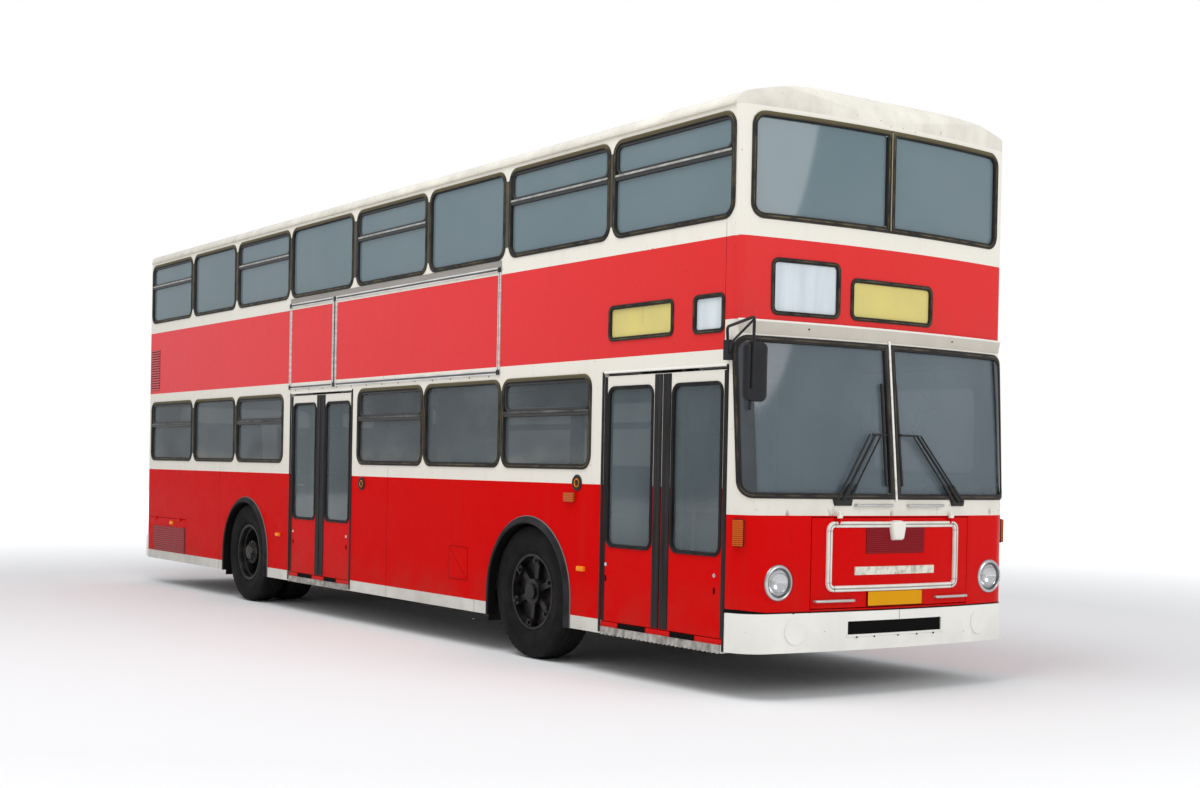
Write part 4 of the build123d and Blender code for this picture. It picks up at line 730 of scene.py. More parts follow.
for door, jamb0, jamb1 in DOORWAYS:
    width = (jamb1 - jamb0 - 2 * LEAF_GAP - LEAF_MEET) / 2
    for leaf, post, way in (("aft", jamb0 + LEAF_GAP, 1), ("fore", jamb1 - LEAF_GAP, -1)):
        body = f"{door}_{leaf}_leaf"
        dress(door_paint, body)
        pane = sorted((post + way * (POST_EDGE - PANE_LAP), post + way * (width - MEET_EDGE + PANE_LAP)))
        loop = rounded_loop(*pane, LEAF_PANE_Z[0] - PANE_LAP, LEAF_PANE_Z[1] + PANE_LAP, 0.074)
        piece(f"{door}_{leaf}_seal", [carried(loop, lifted, kerb)], edge_rubber, body)
        edges = [bar((LEAF_Z[0] + 0.005, LEAF_Z[1] - 0.005),
                     (section + (shift, 0)) * (way, 1) + (post, LEAF_FACE - 0.001), kerb, upright=True)
                 for section, shift in ((MEET_SECTION, width - 0.088), (JAMB_SECTION, 0))]
        piece(f"{door}_{leaf}_edges", edges, edge_rubber, body)

# ----- nose mouldings
# Folded steel header over the windscreen, its face painted a darker tan as shade and its rolled edge
# painted lighter as a highlight, the open joint above the bumper drawn as a dark strip of painted shade,
# and the black strip that closes the door pillar's seam.


def round_nose(s, t, h):
    """Like on_nose, but s runs 0 to 1 over the bow, 1 to 2 round a corner, then along the side."""
    s, t, h = spread(s, t, h)

    def base(p, z):
        x, y = leaning_plan(np.clip(np.abs(p), 0, 2), z)
        return np.stack([x - np.clip(np.abs(p) - 2, 0, None), y * np.sign(p), z], axis=-1)

    normal = np.cross(base(s + NORMAL_STEP, t) - base(s - NORMAL_STEP, t),
                      base(s, t + NORMAL_STEP) - base(s, t - NORMAL_STEP))
    normal /= np.linalg.norm(normal, axis=-1, keepdims=True)
    return base(s, t) + normal * h[..., None]


def wrapped(s, t, h):
    """Like round_nose, but s is the distance in metres along the plan from the centre line."""
    s, t, h = spread(s, t, h)
    corner = LOWER_CORNER + lean(t) * (UPPER_CORNER - LOWER_CORNER)
    meet = np.arcsin((HALF_WIDTH - corner) / (BOW_RADIUS - corner))
    bow, turn = BOW_RADIUS * meet, corner * (np.pi / 2 - meet)
    far = np.abs(s)
    p = np.where(far <= bow, far / bow, 1 + (far - bow) / turn)
    return round_nose(p * np.sign(s), t, h)


def block(low, high, off, foot=-0.001):
    """Section of a plain strip between two heights, from the foot up to the distance off the panel."""
    return np.array([(low, foot), (low, off), (high, off), (high, foot)])


# wide windscreen rubber round both panes, which run on round the corners over opaque patches
# painted like the glass, with a painted sky reflection over painted shade of the cab
SCREEN_SECTION = mm(0, -1, -1, 8, -6, 12, -20, 13, -26, 9, -30, 11, -38, 8, -40, -13.5, -14, -13.5)
SCREEN_PANE = (0.010, 1.301, 2.350)     # inner edge, foot and head of each pane's rubber
SCREEN_OUTER = {-1: 1.284, 1: 1.240}    # its outer edge, along the plan
SCREEN_POST = 0.026
screen_loops, corner_panes, fills = [], [], []
for side in (-1, 1):
    ends = sorted((side * SCREEN_PANE[0], side * SCREEN_OUTER[side]))
    loop = rounded_loop(*ends, *SCREEN_PANE[1:], inner_mitres(side, 0.110), 11, 22)
    screen_loops.append(carried(loop, SCREEN_SECTION, wrapped))
    fills += [square_corner(side * SCREEN_POST, z, -side, way, CUT_CORNER, wrapped)
              for z, way in ((SCREEN_PANE[1] + CUT_INSET, -1), (SCREEN_PANE[2] - CUT_INSET, 1))]
    across = np.linspace(1.150, SCREEN_OUTER[side] - 0.022, 14)[:, None]
    # the pane's corners are round: its end columns stop short by the arc's own height
    short = np.clip((across - SCREEN_OUTER[side] + 0.114) / 0.100, 0, 1)
    short = 0.030 + 0.100 * (1 - np.sqrt(1 - 0.98 * short ** 2))
    rows = SCREEN_PANE[1] + short + np.linspace(0, 1, 22) * (SCREEN_PANE[2] - SCREEN_PANE[1] - 2 * short)
    corner_panes.append(sheet_part(wrapped(side * across, rows, 0.0015)))
screen_rubber = Finish("screen_rubber", 0.6, slot="black_plastic").gloss(0.25)
tone = screen_rubber.mix(screen_rubber.ramp(screen_rubber.noise(4.0, 4.0), 0.3, 0.8),
                         linear(24, 22, 22), linear(50, 46, 43))
# the brown line along the groove is road film and a painted highlight
film_and_highlight = screen_rubber.times(screen_rubber.band(screen_rubber.across(), 0.30, 0.36, 0.46, 0.52),
                           screen_rubber.ramp(screen_rubber.noise(7.0, 4.0), 0.40, 0.66, 0.0, 0.5))
screen_rubber.colour(screen_rubber.mix(film_and_highlight, tone, linear(112, 98, 76)))
piece("windscreen_seals", screen_loops, screen_rubber)
# opaque patches in the square middle corners, painted with the tone the glass shows there: a painted sky reflection
mid_glass = mottled("middle_corner_painted_reflection", 0.08, "black_plastic", (92, 102, 109), (102, 112, 119), (1.5,),
                    gloss=0.2)
piece("windscreen_middle_corners", fills, mid_glass, close=False)
# opaque dark patches round the outer corners: painted sky reflection over painted shade of the cab behind the glass
corner_glass = mottled("side_corner_painted_reflection_and_shade", 0.08, "black_plastic", (52, 56, 60), (74, 80, 85), (1.5,), (0.3, 0.7))
piece("windscreen_corner_panes", corner_panes, corner_glass, close=False)

# the header's face is painted a darker tan as shade where it faces down, and its rolled edge a lighter white as a
# highlight
shaded_header_paint = enamel("header_painted_shade_enamel", 2.2, [(0.0, linear(198, 192, 180))], 0.9)
highlight_paint = enamel("painted_highlight_enamel", 2.2, [(0.0, linear(236, 233, 226))], 0.4)
HEADER_FACE = mm(2362, -1, 2362, 2, 2438, 24, 2441, 22, 2450, -1)
HEADER_EDGE = mm(2438, 20, 2438, 25, 2444, 29, 2451, 27, 2455, 18, 2456, -1, 2440, -1)
REACH = 1.42


def thinning(s, t, h):
    """Like round_nose, with the height off the nose dying away round the corners."""
    return round_nose(s, t, h * np.interp(np.abs(s), [1.00, REACH], [1.0, 0.55]))


for name, section, finish in (("face", HEADER_FACE, shaded_header_paint), ("edge", HEADER_EDGE, highlight_paint)):
    piece(f"header_{name}", [bar((-REACH, REACH), section, thinning, 140)], finish)

dark_joint = Finish("dark_joint", 0.9, slot="black_plastic").colour(linear(12, 11, 11)).gloss(0.1)
# painted shade: a near-black strip over the apron's lower edge stands for the shade in the open
# joint, which widens upwards round the kerb side corner
JOINT_FOOT, JOINT_HIGH, JOINT_MORE = 0.5585, 0.010, 0.016
s = np.linspace(-2.0, 2.0, 120)[:, None]
high = JOINT_HIGH + JOINT_MORE * np.clip((-s - 1.0) / 0.6, 0, 1)
joint_shade_strip = round_nose(s, JOINT_FOOT + np.array([0, 0, 1, 1]) * high, [-0.010, 0.001, 0.001, -0.010])
piece("bumper_joint_shade", [sheet_part(joint_shade_strip, wrap_v=True, cap=True)], dark_joint)
SEAM_X = 5.283
piece("pillar_seams", [bar((SEAM_X - half, SEAM_X + half), section, kerb)
                       for half, section in ((0.002, block(0.570, 1.190, -0.004, 0.001)),
                                             (0.005, block(0.930, 1.050, -0.004, 0.002)))], dark_joint)

# ----- front hatch
# Bowed steel hatch with a white moulded frame round dark red louvres, a white shield over the lock,
# a bare name strip and a bare plate; it lifts on two welded hinges and has bright tube pulls.
hatch_red = enamel("hatch_enamel", 0.5, [(0.0, LOWER_RED)], 0.5)
white_moulding = Finish("white_moulding", 0.4, slot="body_paint")
aged_white = white_moulding.mix(white_moulding.ramp(white_moulding.noise(9.0, 4.0), 0.4, 0.8, 0.0, 0.5),
                                linear(233, 231, 223), linear(190, 184, 168))
white_moulding.colour(white_moulding.mix(white_moulding.band(white_moulding.across(), 0.37, 0.42, 0.53, 0.58),
                                         aged_white, linear(150, 148, 142)))
LOUVRE_FOOT, LOUVRE_PITCH = 0.944, 0.0135
dark_red = Finish("dark_red_louvre", 0.45, slot="body_paint").gloss(0.15)
# painted shade: the darker red stripe at the top of each pitch stands for the shade between the louvres
above = dark_red.math("SUBTRACT", dark_red.z, LOUVRE_FOOT)
pitch = dark_red.math("FRACT", dark_red.math("DIVIDE", above, LOUVRE_PITCH))
dark_red.colour(dark_red.mix(dark_red.math("GREATER_THAN", pitch, 0.72), linear(146, 14, 26), linear(88, 8, 16)))
blank_yellow = mottled("blank_yellow_plate", 0.42, "body_paint", (224, 158, 0), (216, 148, 0), (5.0,), gloss=0.1)
chrome = mottled("chrome", 0.16, "bright_steel", (214, 214, 214), (150, 146, 140), (30.0,), (0.45, 0.7), 0.95)
chrome_bar = mottled("dulled_chrome_bar", 0.3, "bright_steel", (212, 212, 212), (176, 174, 170), (10.0,),
                     metallic=0.7)
plain_white = Finish("plain_white", 0.42, slot="body_paint").colour(linear(230, 227, 217))

HATCH_SECTION = mm(585, -28, 1180, -28, 1180, -3, 1177, 0, 588, 0, 585, -3)
HATCH_HALF = 0.732
panel = piece("front_hatch_panel", [bar((-HATCH_HALF, HATCH_HALF), HATCH_SECTION, on_nose, 64)], hatch_red,
              "front_hatch")
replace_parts(panel, "front_hatch")
FRAME_SECTION = mm(0, -1, 0, 12, -3, 18, -8, 21, -14, 20.5, -17, 16, -23, 16, -26, 20.5, -32, 21, -37, 18,
                   -40, 12, -40, -1)
FRAME_HALF, FRAME_Z, FRAME_WIDE = 0.613, (0.692, 1.155), 0.040
frame_loop = rounded_loop(-FRAME_HALF, FRAME_HALF, *FRAME_Z, 0.060, 12, 30)
piece("grille_frame", [carried(frame_loop, FRAME_SECTION, on_nose)], white_moulding, "front_hatch")
# hairlines where the frame's corner mouldings meet its straight ones
HAIR, JOINT_OFF = 0.0008, 0.0216
JOINT_Y, JOINT_IN = 0.551, 0.062
joints = []
for side in (-1, 1):
    joints += [bar((side * JOINT_Y - HAIR, side * JOINT_Y + HAIR), block(z, z + FRAME_WIDE, JOINT_OFF, 0.0),
                   on_nose) for z in (FRAME_Z[0], FRAME_Z[1] - FRAME_WIDE)]
    ends = sorted((side * (FRAME_HALF - FRAME_WIDE), side * FRAME_HALF))
    joints += [bar(ends, block(z - HAIR, z + HAIR, JOINT_OFF, 0.0), on_nose, 4)
               for z in (FRAME_Z[0] + JOINT_IN, FRAME_Z[1] - JOINT_IN)]
piece("frame_joint_lines", joints, dark_joint, "front_hatch")

LOUVRE_HALF = 0.272
louvres = [bar((-LOUVRE_HALF, LOUVRE_HALF), mm(0, 0, 1, 6, 9, 4.5, 11, 0) + (z, 0), on_nose, 24)
           for z in np.arange(LOUVRE_FOOT, 1.098, LOUVRE_PITCH)]
louvres.append(bar((-LOUVRE_HALF - 0.004, LOUVRE_HALF + 0.004), block(0.940, 1.116, 0.0012), on_nose, 24))
piece("hatch_louvres", louvres, dark_red, "front_hatch")


def pillow(outline, height, place, rings=14):
    """A rounded pad: rings shrink from the outline to its middle while the height swells as
    (1 - r^8)^(1/2) of the share r of the way out."""
    middle = outline.mean(axis=0)
    r = np.sin(np.linspace(0.02, np.pi / 2, rings))[:, None]
    grid = middle + r[..., None] * (outline[None] - middle)
    return sheet_part(place(grid[..., 0], grid[..., 1], height * np.sqrt(np.clip(1 - r ** 8, 0, 1))),
                      wrap_v=True, cap=True)


corners = mm(40, 1028, 52, 1034, 66, 1100, 69, 1140, 58, 1156, 30, 1162)
corners = np.concatenate([corners, corners[::-1] * (-1, 1), corners[:1]])
along = np.linspace(0, len(corners) - 1, 12 * (len(corners) - 1), endpoint=False)
shield = np.stack([np.interp(along, np.arange(len(corners)), axis) for axis in corners.T], axis=-1)
piece("lock_shield", [pillow(shield, 0.038, on_nose)], plain_white, "front_hatch")

strip_paint = mottled("worn_white_strip", 0.6, "body_paint", (226, 222, 208), (176, 170, 154), (26.0, 5.0),
                      (0.42, 0.66))
NAME_STRIP = mm(800, -1, 800, 6, 802, 8, 853, 8, 855, 6, 855, -1)
STRIP_HALF = 0.371
piece("bare_name_strip", [bar((-STRIP_HALF, STRIP_HALF), NAME_STRIP, on_nose, 32)], strip_paint, "front_hatch")
PLATE_X = 5.5865


def on_plate(s, t, h):
    """Flat upright plate, square to the bus, just ahead of the hatch."""
    s, t, h = spread(s, t, h)
    return np.stack([PLATE_X + h, s, t], axis=-1)


def lozenge(loop, levels, place):
    """A capped pad: the loop drawn in by each level's inset at that level's height."""
    points, ways = loop
    inset, h = np.asarray(levels).T
    grid = points[None] - inset[:, None, None] * ways[None]
    return sheet_part(place(grid[..., 0], grid[..., 1], h[:, None]), wrap_v=True, cap=True)


def pad(window, radius, levels, place, steps=4, between=1):
    """A lozenge on a rectangle (s0, s1, t0, t1) with round corners."""
    return lozenge(rounded_loop(*window, radius, steps, between), levels, place)


PLATE = (-0.258, 0.258, 0.590, 0.692)
PLATE_LEVELS = mm(0, -4, 0, 2, 1.5, 3.5, 5, 3.5, 6.5, 2, 9, 2)
piece("bare_plate", [pad(PLATE, 0.010, PLATE_LEVELS, on_plate)], blank_yellow, "front_hatch")
RIM_SECTION = mm(1.5, -4, 1.5, 3, 0, 4.2, -3, 4.2, -4, 3, -4, -4)
piece("bare_plate_rim", [carried(rounded_loop(*PLATE, 0.010, 4, 1), RIM_SECTION, on_plate)], dark_joint,
      "front_hatch")


def tube(points, radius, bend=0.0, sides=12, bend_steps=6):
    """Round bar along straight runs; each inner corner becomes an arc that leaves both runs at the
    bend's distance.  Rings stand square to the mean of the neighbouring directions."""
    corners = [np.asarray(point, float) for point in points]
    path = [corners[0]]
    for before, corner, after in zip(corners, corners[1:], corners[2:]):
        into, out = before - corner, after - corner
        reach = min(bend, 0.48 * np.linalg.norm(into), 0.48 * np.linalg.norm(out))
        a = corner + into / np.linalg.norm(into) * reach
        b = corner + out / np.linalg.norm(out) * reach
        share = np.linspace(0, 1, bend_steps)[:, None]
        path.extend((1 - share) ** 2 * a + 2 * share * (1 - share) * corner + share ** 2 * b)
    path = np.array([*path, corners[-1]])
    along = np.diff(path, axis=0)
    along /= np.linalg.norm(along, axis=1, keepdims=True)
    tangent = np.concatenate([along[:1], along[:-1] + along[1:], along[-1:]])
    tangent /= np.linalg.norm(tangent, axis=1, keepdims=True)
    side_way = np.cross(tangent, np.eye(3)[int(np.argmin(np.ptp(path, axis=0)))])
    side_way /= np.linalg.norm(side_way, axis=1, keepdims=True)
    other = np.cross(tangent, side_way)
    angle = np.linspace(0, 2 * np.pi, sides, endpoint=False)[:, None]
    ring = np.cos(angle) * side_way[:, None] + np.sin(angle) * other[:, None]
    return sheet_part(path[:, None] + radius * ring, wrap_v=True, cap=True)


PULL_Z, BAND_PULL_Z = 0.635, 1.262
PULL_R, PULL_BEND = 0.0095, 0.014
PULL_PATH = [(5.548, 0.705), (5.586, 0.705), (5.606, 0.390), (5.575, 0.390)]
pulls = [tube([(x, side * y, PULL_Z) for x, y in PULL_PATH], PULL_R, PULL_BEND) for side in (-1, 1)]
piece("hatch_pulls", pulls, chrome_bar, "front_hatch")
band_pulls = [tube([(5.574, y0, BAND_PULL_Z), (5.604, y0, BAND_PULL_Z), (5.604, y1, BAND_PULL_Z),
                    (5.566, y1, BAND_PULL_Z)], PULL_R, PULL_BEND) for y0, y1 in ((0.110, 0.440), (-0.050, -0.370))]
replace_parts(piece("nose_pulls", band_pulls, chrome_bar), "nose_handles")
# each hinge is a strap and a curved arm on the hatch, and on the frame a barrel on the hinge line
# under a curved lug
HINGE_Y, HINGE_HALF = 0.525, 0.017
HINGE_LINE = (5.592, 1.186)    # x and z of the line the hatch turns about
hinges, lugs = [], []
for y in (-HINGE_Y, HINGE_Y):
    hinges += [tube([(5.574, y, 1.135), (5.588, y, 1.150), (HINGE_LINE[0], y, 1.173)], 0.009, 0.014),
               bar((y - HINGE_HALF, y + HINGE_HALF), block(1.120, 1.176, 0.004), on_nose)]
    lugs += [tube([(HINGE_LINE[0], y, 1.192), (5.589, y, 1.212), (5.581, y, 1.220)], 0.008, 0.010),
             tube([(HINGE_LINE[0], y + way * HINGE_HALF, HINGE_LINE[1]) for way in (-1, 1)], 0.010, sides=16)]
piece("hinge_lugs", lugs, plain_white)
piece("hatch_hinges", hinges, hatch_red, "front_hatch")

# ----- headlamps
# Chromed rims hold fluted glass over a silvered bowl with a plain bulb, each lamp in a round dish
# pressed into the apron.


def turned(profile, centre, axis=(1.0, 0.0, 0.0), steps=48, close=False):
    """Surface of revolution about an axis: profile is points of radius and distance along the axis."""
    radius, along = profile.T
    axis = np.asarray(axis, float) / np.linalg.norm(axis)
    first = np.cross(axis, np.eye(3)[int(np.argmin(np.abs(axis)))])
    first /= np.linalg.norm(first)
    second = np.cross(axis, first)
    angle = np.linspace(0, 2 * np.pi, steps, endpoint=False)[:, None, None]
    way = np.cos(angle) * first + np.sin(angle) * second
    points = np.asarray(centre, float) + way * radius[None, :, None] + axis * along[None, :, None]
    return sheet_part(points, wrap_u=True, wrap_v=close)


BEZEL = mm(86, -4, 87, 4, 93, 12, 102, 15, 112, 11, 119, 2, 121, -10, 121, -22, 98, -22)
BOWL = mm(86, -4, 80, -16, 62, -36, 40, -50, 14, -57, 1, -57)
LENS = mm(86.5, -2, 75, 5, 55, 10, 30, 13, 1, 14)
BULB = mm(1, -16, 10, -18, 14, -26, 12, -38, 9, -56)
silver = Finish("silvered_bowl", 0.12, 1.0, "lamp_plastic").colour(linear(226, 226, 228))
lamp_glass = Finish("fluted_lamp_glass", 0.08, slot="lamp_plastic").colour(linear(222, 224, 226)).set("Alpha", 0.30)
lamp_glass.bump(lamp_glass.math("SINE", lamp_glass.times(lamp_glass.y, 620.0)), 0.002, 0.8)
rim_steel = Finish("lamp_rim_painted_highlight", 0.3, 0.85, "bright_steel")
# painted highlight: the rim is bright along its crown and darker, as shade, down its flanks
off_crown = rim_steel.math("ABSOLUTE", rim_steel.math("SUBTRACT", rim_steel.across(), 0.45))
rim_steel.colour(rim_steel.mix(rim_steel.ramp(off_crown, 0.05, 0.20), linear(206, 206, 206), linear(104, 104, 106)))
LAMPS_AT = [(5.527, side * 0.991, 0.760) for side in (-1, 1)]
bezels = piece("headlamp_rims", [turned(BEZEL, at, close=True) for at in LAMPS_AT], rim_steel)
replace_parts(bezels, "lamps")
piece("headlamp_bowls", [turned(BOWL, at) for at in LAMPS_AT], silver, close=False)
piece("headlamp_glasses", [turned(LENS, at) for at in LAMPS_AT], lamp_glass)
piece("headlamp_bulbs", [turned(BULB, at) for at in LAMPS_AT], plain_white)

# ----- marker lamps and buttons
# Ribbed amber lenses on black bases: on the corners, along the skirt and beside the front door.
# The door buttons are black cups with an amber ring.


def ribbed_lens(name, roughness, axis, turns, dark, light):
    """Coloured lens whose tone follows a sine along one axis."""
    lens = Finish(name, roughness, slot="lamp_plastic")
    lens.ribs = lens.wave(getattr(lens, axis), turns)
    return lens.colour(lens.mix(lens.ribs, linear(*dark), linear(*light)))


amber = ribbed_lens("amber_lens", 0.25, "z", 480.0, (150, 50, 2), (206, 96, 8)).gloss(0.2)
amber.bump(amber.ribs, 0.0012, 0.7)
bright_amber = ribbed_lens("bright_amber_lens", 0.22, "x", 300.0, (232, 112, 2), (250, 158, 20)).gloss(0.15)
black_plastic = mottled("black_plastic", 0.5, "black_plastic", (20, 20, 22), (38, 37, 37), (20.0,), gloss=0.3)
CORNER_ARC_X = 5.3025
INDICATOR_ANGLE = np.radians(62)


def on_corner(side):
    """Plane that touches the apron's corner arc: s runs across it, t up and h outwards."""
    away = np.array([np.cos(INDICATOR_ANGLE), side * np.sin(INDICATOR_ANGLE)])
    across = np.array([-side * away[1], side * away[0]])
    foot = np.array([CORNER_ARC_X, side * (HALF_WIDTH - LOWER_CORNER)]) + LOWER_CORNER * away

    def place(s, t, h):
        s, t, h = spread(s, t, h)
        flat = foot + s[..., None] * across + h[..., None] * away
        return np.concatenate([flat, t[..., None]], axis=-1)
    return place


INDICATOR, SIDE_REPEATER = (-0.035, 0.035, 0.992, 1.162), (3.433, 3.565, 1.222, 1.290)
SKIRT_MARKERS = [(3.612, 3.708, 0.720, 0.757), (-1.831, -1.738, 0.722, 0.757)]
FLAP_MARKER = (-4.887, -4.811, 0.717, 0.757)
MARKER_LEVELS = mm(0, -1, 0, 14, 3, 18, 5, 19)
for name, levels, finish in (("lenses", mm(0, 8, 0, 24, 4, 30, 7, 31), amber),
                             ("bases", mm(-3, -12, -3, 10, 2, 12), black_plastic)):
    piece(f"corner_indicator_{name}", [pad(INDICATOR, 0.008, levels, on_corner(side)) for side in (-1, 1)], finish)
piece("side_repeaters", [pad(SIDE_REPEATER, 0.008, mm(0, 4, 0, 20, 4, 24, 7, 24), on_side(side))
                         for side in (-1, 1)], amber)
piece("skirt_markers", [pad(marker, 0.006, MARKER_LEVELS, on_side(side))
                        for marker in SKIRT_MARKERS for side in (-1, 1)], bright_amber)
for hand, side in HANDS:
    piece(f"{hand}_flap_marker", [pad(FLAP_MARKER, 0.006, MARKER_LEVELS, on_side(side))], bright_amber,
          f"{hand}_engine_flap")
BUTTONS_AT = [(3.587, -HALF_WIDTH, 1.364), (0.077, -HALF_WIDTH, 1.290)]
TO_KERB = (0.0, -1.0, 0.0)
for name, profile, finish, steps in (
        ("cups", mm(60, -1, 60, 6, 52, 14, 44, 16, 38, 12, 36, 3), black_plastic, 48),
        ("rings", mm(34, 2, 33, 10, 29, 13, 25, 10, 24, 3), bright_amber, 32),
        ("knobs", mm(22, 2, 20, 12, 12, 15, 1, 15), black_plastic, 32)):
    piece(f"door_button_{name}", [turned(profile, at, TO_KERB, steps) for at in BUTTONS_AT], finish)

# ----- displays
# Blinds behind the display panes are wound to a blank stretch: yellow cloth in the two wide boxes,
# white in the narrow ones.
blind_yellow = Finish("blank_yellow_blind", 0.35, slot="lamp_plastic")
# painted shade: a dark line down a crease in the yellow blind
off_crease = blind_yellow.math("ABSOLUTE", blind_yellow.math("SUBTRACT", blind_yellow.x, 4.345))
crease_shade = blind_yellow.times(blind_yellow.ramp(off_crease, 0.0, 0.006, 0.45, 0.0),
                            blind_yellow.ramp(blind_yellow.z, 2.46, 2.50))
faded = blind_yellow.mix(blind_yellow.ramp(blind_yellow.noise(3.0), 0.3, 0.8),
                         linear(214, 198, 112), linear(200, 186, 112))
blind_yellow.colour(blind_yellow.mix(crease_shade, faded, linear(120, 110, 70)))
blind_white = mottled("blank_white_blind", 0.3, "lamp_plastic", (214, 222, 226), (184, 194, 200),
                      (2.5, 4.0, (4.0, 4.0, 0.5)), (0.3, 0.8))


def blind(window, place):
    """Cloth that fills one display window, as a grid so that it follows the nose."""
    s0, s1, t0, t1 = window
    s = np.linspace(s0 + 0.003, s1 - 0.003, 24)[:, None]
    return sheet_part(place(s, np.linspace(t0 + 0.003, t1 - 0.003, 12), -0.0075))


yellow_blinds = piece("yellow_blinds", [blind(DISPLAYS_SIDE[0], kerb), blind(DISPLAYS_FRONT[1], on_nose)],
                      blind_yellow, close=False)
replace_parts(yellow_blinds, "displays")
piece("white_blinds", [blind(DISPLAYS_SIDE[1], kerb), blind(DISPLAYS_FRONT[0], on_nose)], blind_white, close=False)

# ----- mirrors and wipers
# Black mirror heads on bent tubes; the door side one hangs ahead of the nose.  The pantograph wipers
# are parked upright beside the bright post between the windscreens.


def mirror_head(x0, x1, *window):
    """Moulded housing with soft edges, thicker towards its middle."""
    def place(s, t, h):
        return np.stack(spread(h, s, t), axis=-1)
    thick = x1 - x0
    levels = [(0.040, x0), (0.010, x0 + 0.002), (0.003, x0 + 0.008), (0.0, x0 + 0.3 * thick),
              (0.0, x0 + 0.7 * thick), (0.004, x1 - 0.008), (0.014, x1 - 0.002), (0.040, x1)]
    return pad(window, 0.045, levels, place, 8, 2)


def board(outline, y0, y1):
    """Flat board or bar: its outline in x and z, from y0 to y1."""
    x, z = np.asarray(outline).T
    return sheet_part(np.stack(spread(x, [[y0], [y1]], z), axis=-1), wrap_v=True, cap=True)


def box(x0, x1, y0, y1, z0, z1):
    """A box between two corners."""
    return board([(x0, z0), (x1, z0), (x1, z1), (x0, z1)], y0, y1)


mirror_black = mottled("mirror_black", 0.42, "black_plastic", (20, 20, 23), (38, 38, 42), (6.0,), gloss=0.2)
mirror_parts = [
    mirror_head(5.694, 5.742, -1.478, -1.298, 1.905, 2.275),
    mirror_head(5.080, 5.128, 1.298, 1.478, 1.905, 2.275),
    tube([(5.310, -1.272, 2.290), (5.335, -1.300, 2.395), (5.748, -1.425, 2.425), (5.748, -1.432, 1.985)],
         0.010, 0.030),
    tube([(5.325, -1.268, 2.215), (5.405, -1.310, 2.300), (5.735, -1.422, 2.405)], 0.008, 0.040),
    tube([(5.218, 1.275, 2.225), (5.218, 1.370, 2.345), (5.134, 1.432, 2.345), (5.134, 1.432, 1.985)],
         0.010, 0.030),
    tube([(5.728, -1.432, 1.905), (5.728, -1.436, 1.850)], 0.013, sides=10)]
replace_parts(piece("mirror_housings", mirror_parts, mirror_black), "mirrors")
piece("mirror_brackets", [box(5.285, 5.340, -1.292, -1.245, 2.185, 2.315),
                          box(5.190, 5.246, 1.249, 1.286, 2.190, 2.254)], mirror_black, bevel=0.006)

# each wiper: foot and head width of its parallel bars, and the bar's radius
WIPER_BARS = {-1: [(0.535, 0.240, 0.006), (0.485, 0.190, 0.009), (0.425, 0.135, 0.006)],
              1: [(0.570, 0.165, 0.006), (0.625, 0.205, 0.009), (0.660, 0.240, 0.006)]}
WIPER_FOOT = {-1: (0.395, 0.560), 1: (0.545, 0.695)}
BLADE_Y = {-1: (0.088, 0.088), 1: (0.060, 0.042)}    # foot and head of each blade
BLADE_Z = (1.390, 2.080)
PIVOT_X, PIVOT_Z = 5.568, 1.290
CROSS_X, CROSS_Z, CROSS_Y = 5.562, 1.735, 0.215
KNEE_SHARE = 0.24    # share of each bar that its thicker foot takes
wiper_parts = []
for side in (-1, 1):
    for foot, head, thick in WIPER_BARS[side]:
        start = (PIVOT_X, side * foot, PIVOT_Z)
        knee = (5.566, side * (foot + KNEE_SHARE * (head - foot)), PIVOT_Z + KNEE_SHARE * (CROSS_Z - PIVOT_Z))
        wiper_parts += [tube([start, (CROSS_X, side * head, CROSS_Z)], thick, sides=10),
                        tube([start, knee], thick + 0.005, sides=10)]
    foot, head = side * np.array(BLADE_Y[side])
    joint = (CROSS_X, (foot + head) / 2, CROSS_Z)
    wiper_parts += [tube([(CROSS_X, side * CROSS_Y, CROSS_Z), joint], 0.007, sides=8),
                    tube([joint, (5.534, joint[1], 1.738)], 0.008, sides=8),
                    tube([(5.572, foot, BLADE_Z[0]), (5.507, head, BLADE_Z[1])], 0.010, sides=8),
                    tube([(5.562, foot, BLADE_Z[0]), (5.496, head, BLADE_Z[1])], 0.004, sides=6)]
    y0, y1 = sorted(side * edge for edge in WIPER_FOOT[side])
    foot_loop = (np.array([(y1, 1.300), (y0, 1.300), (y0 + 0.012, 1.258), (y1 - 0.012, 1.258)]),
                 np.array([(1.0, 1.0), (-1.0, 1.0), (-1.0, -1.0), (1.0, -1.0)]))
    wiper_parts.append(lozenge(foot_loop, mm(0, -30, 0, 8, 5, 14, 10, 15), on_nose))
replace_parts(piece("wiper_sets", wiper_parts, black_plastic), "wipers")
POST_SECTION = mm(-9, -4, -9, 10, -5, 14, 5, 14, 9, 10, 9, -4)
post_metal = mottled("bright_post_strip", 0.4, "bright_steel", (240, 238, 232), (196, 192, 184), (20.0, 4.0),
                     (0.5, 0.8), 0.2)
POST_Z = (1.290, 2.372)
piece("windscreen_post_strip", [bar(POST_Z, POST_SECTION, on_nose, 30, upright=True)], post_metal)

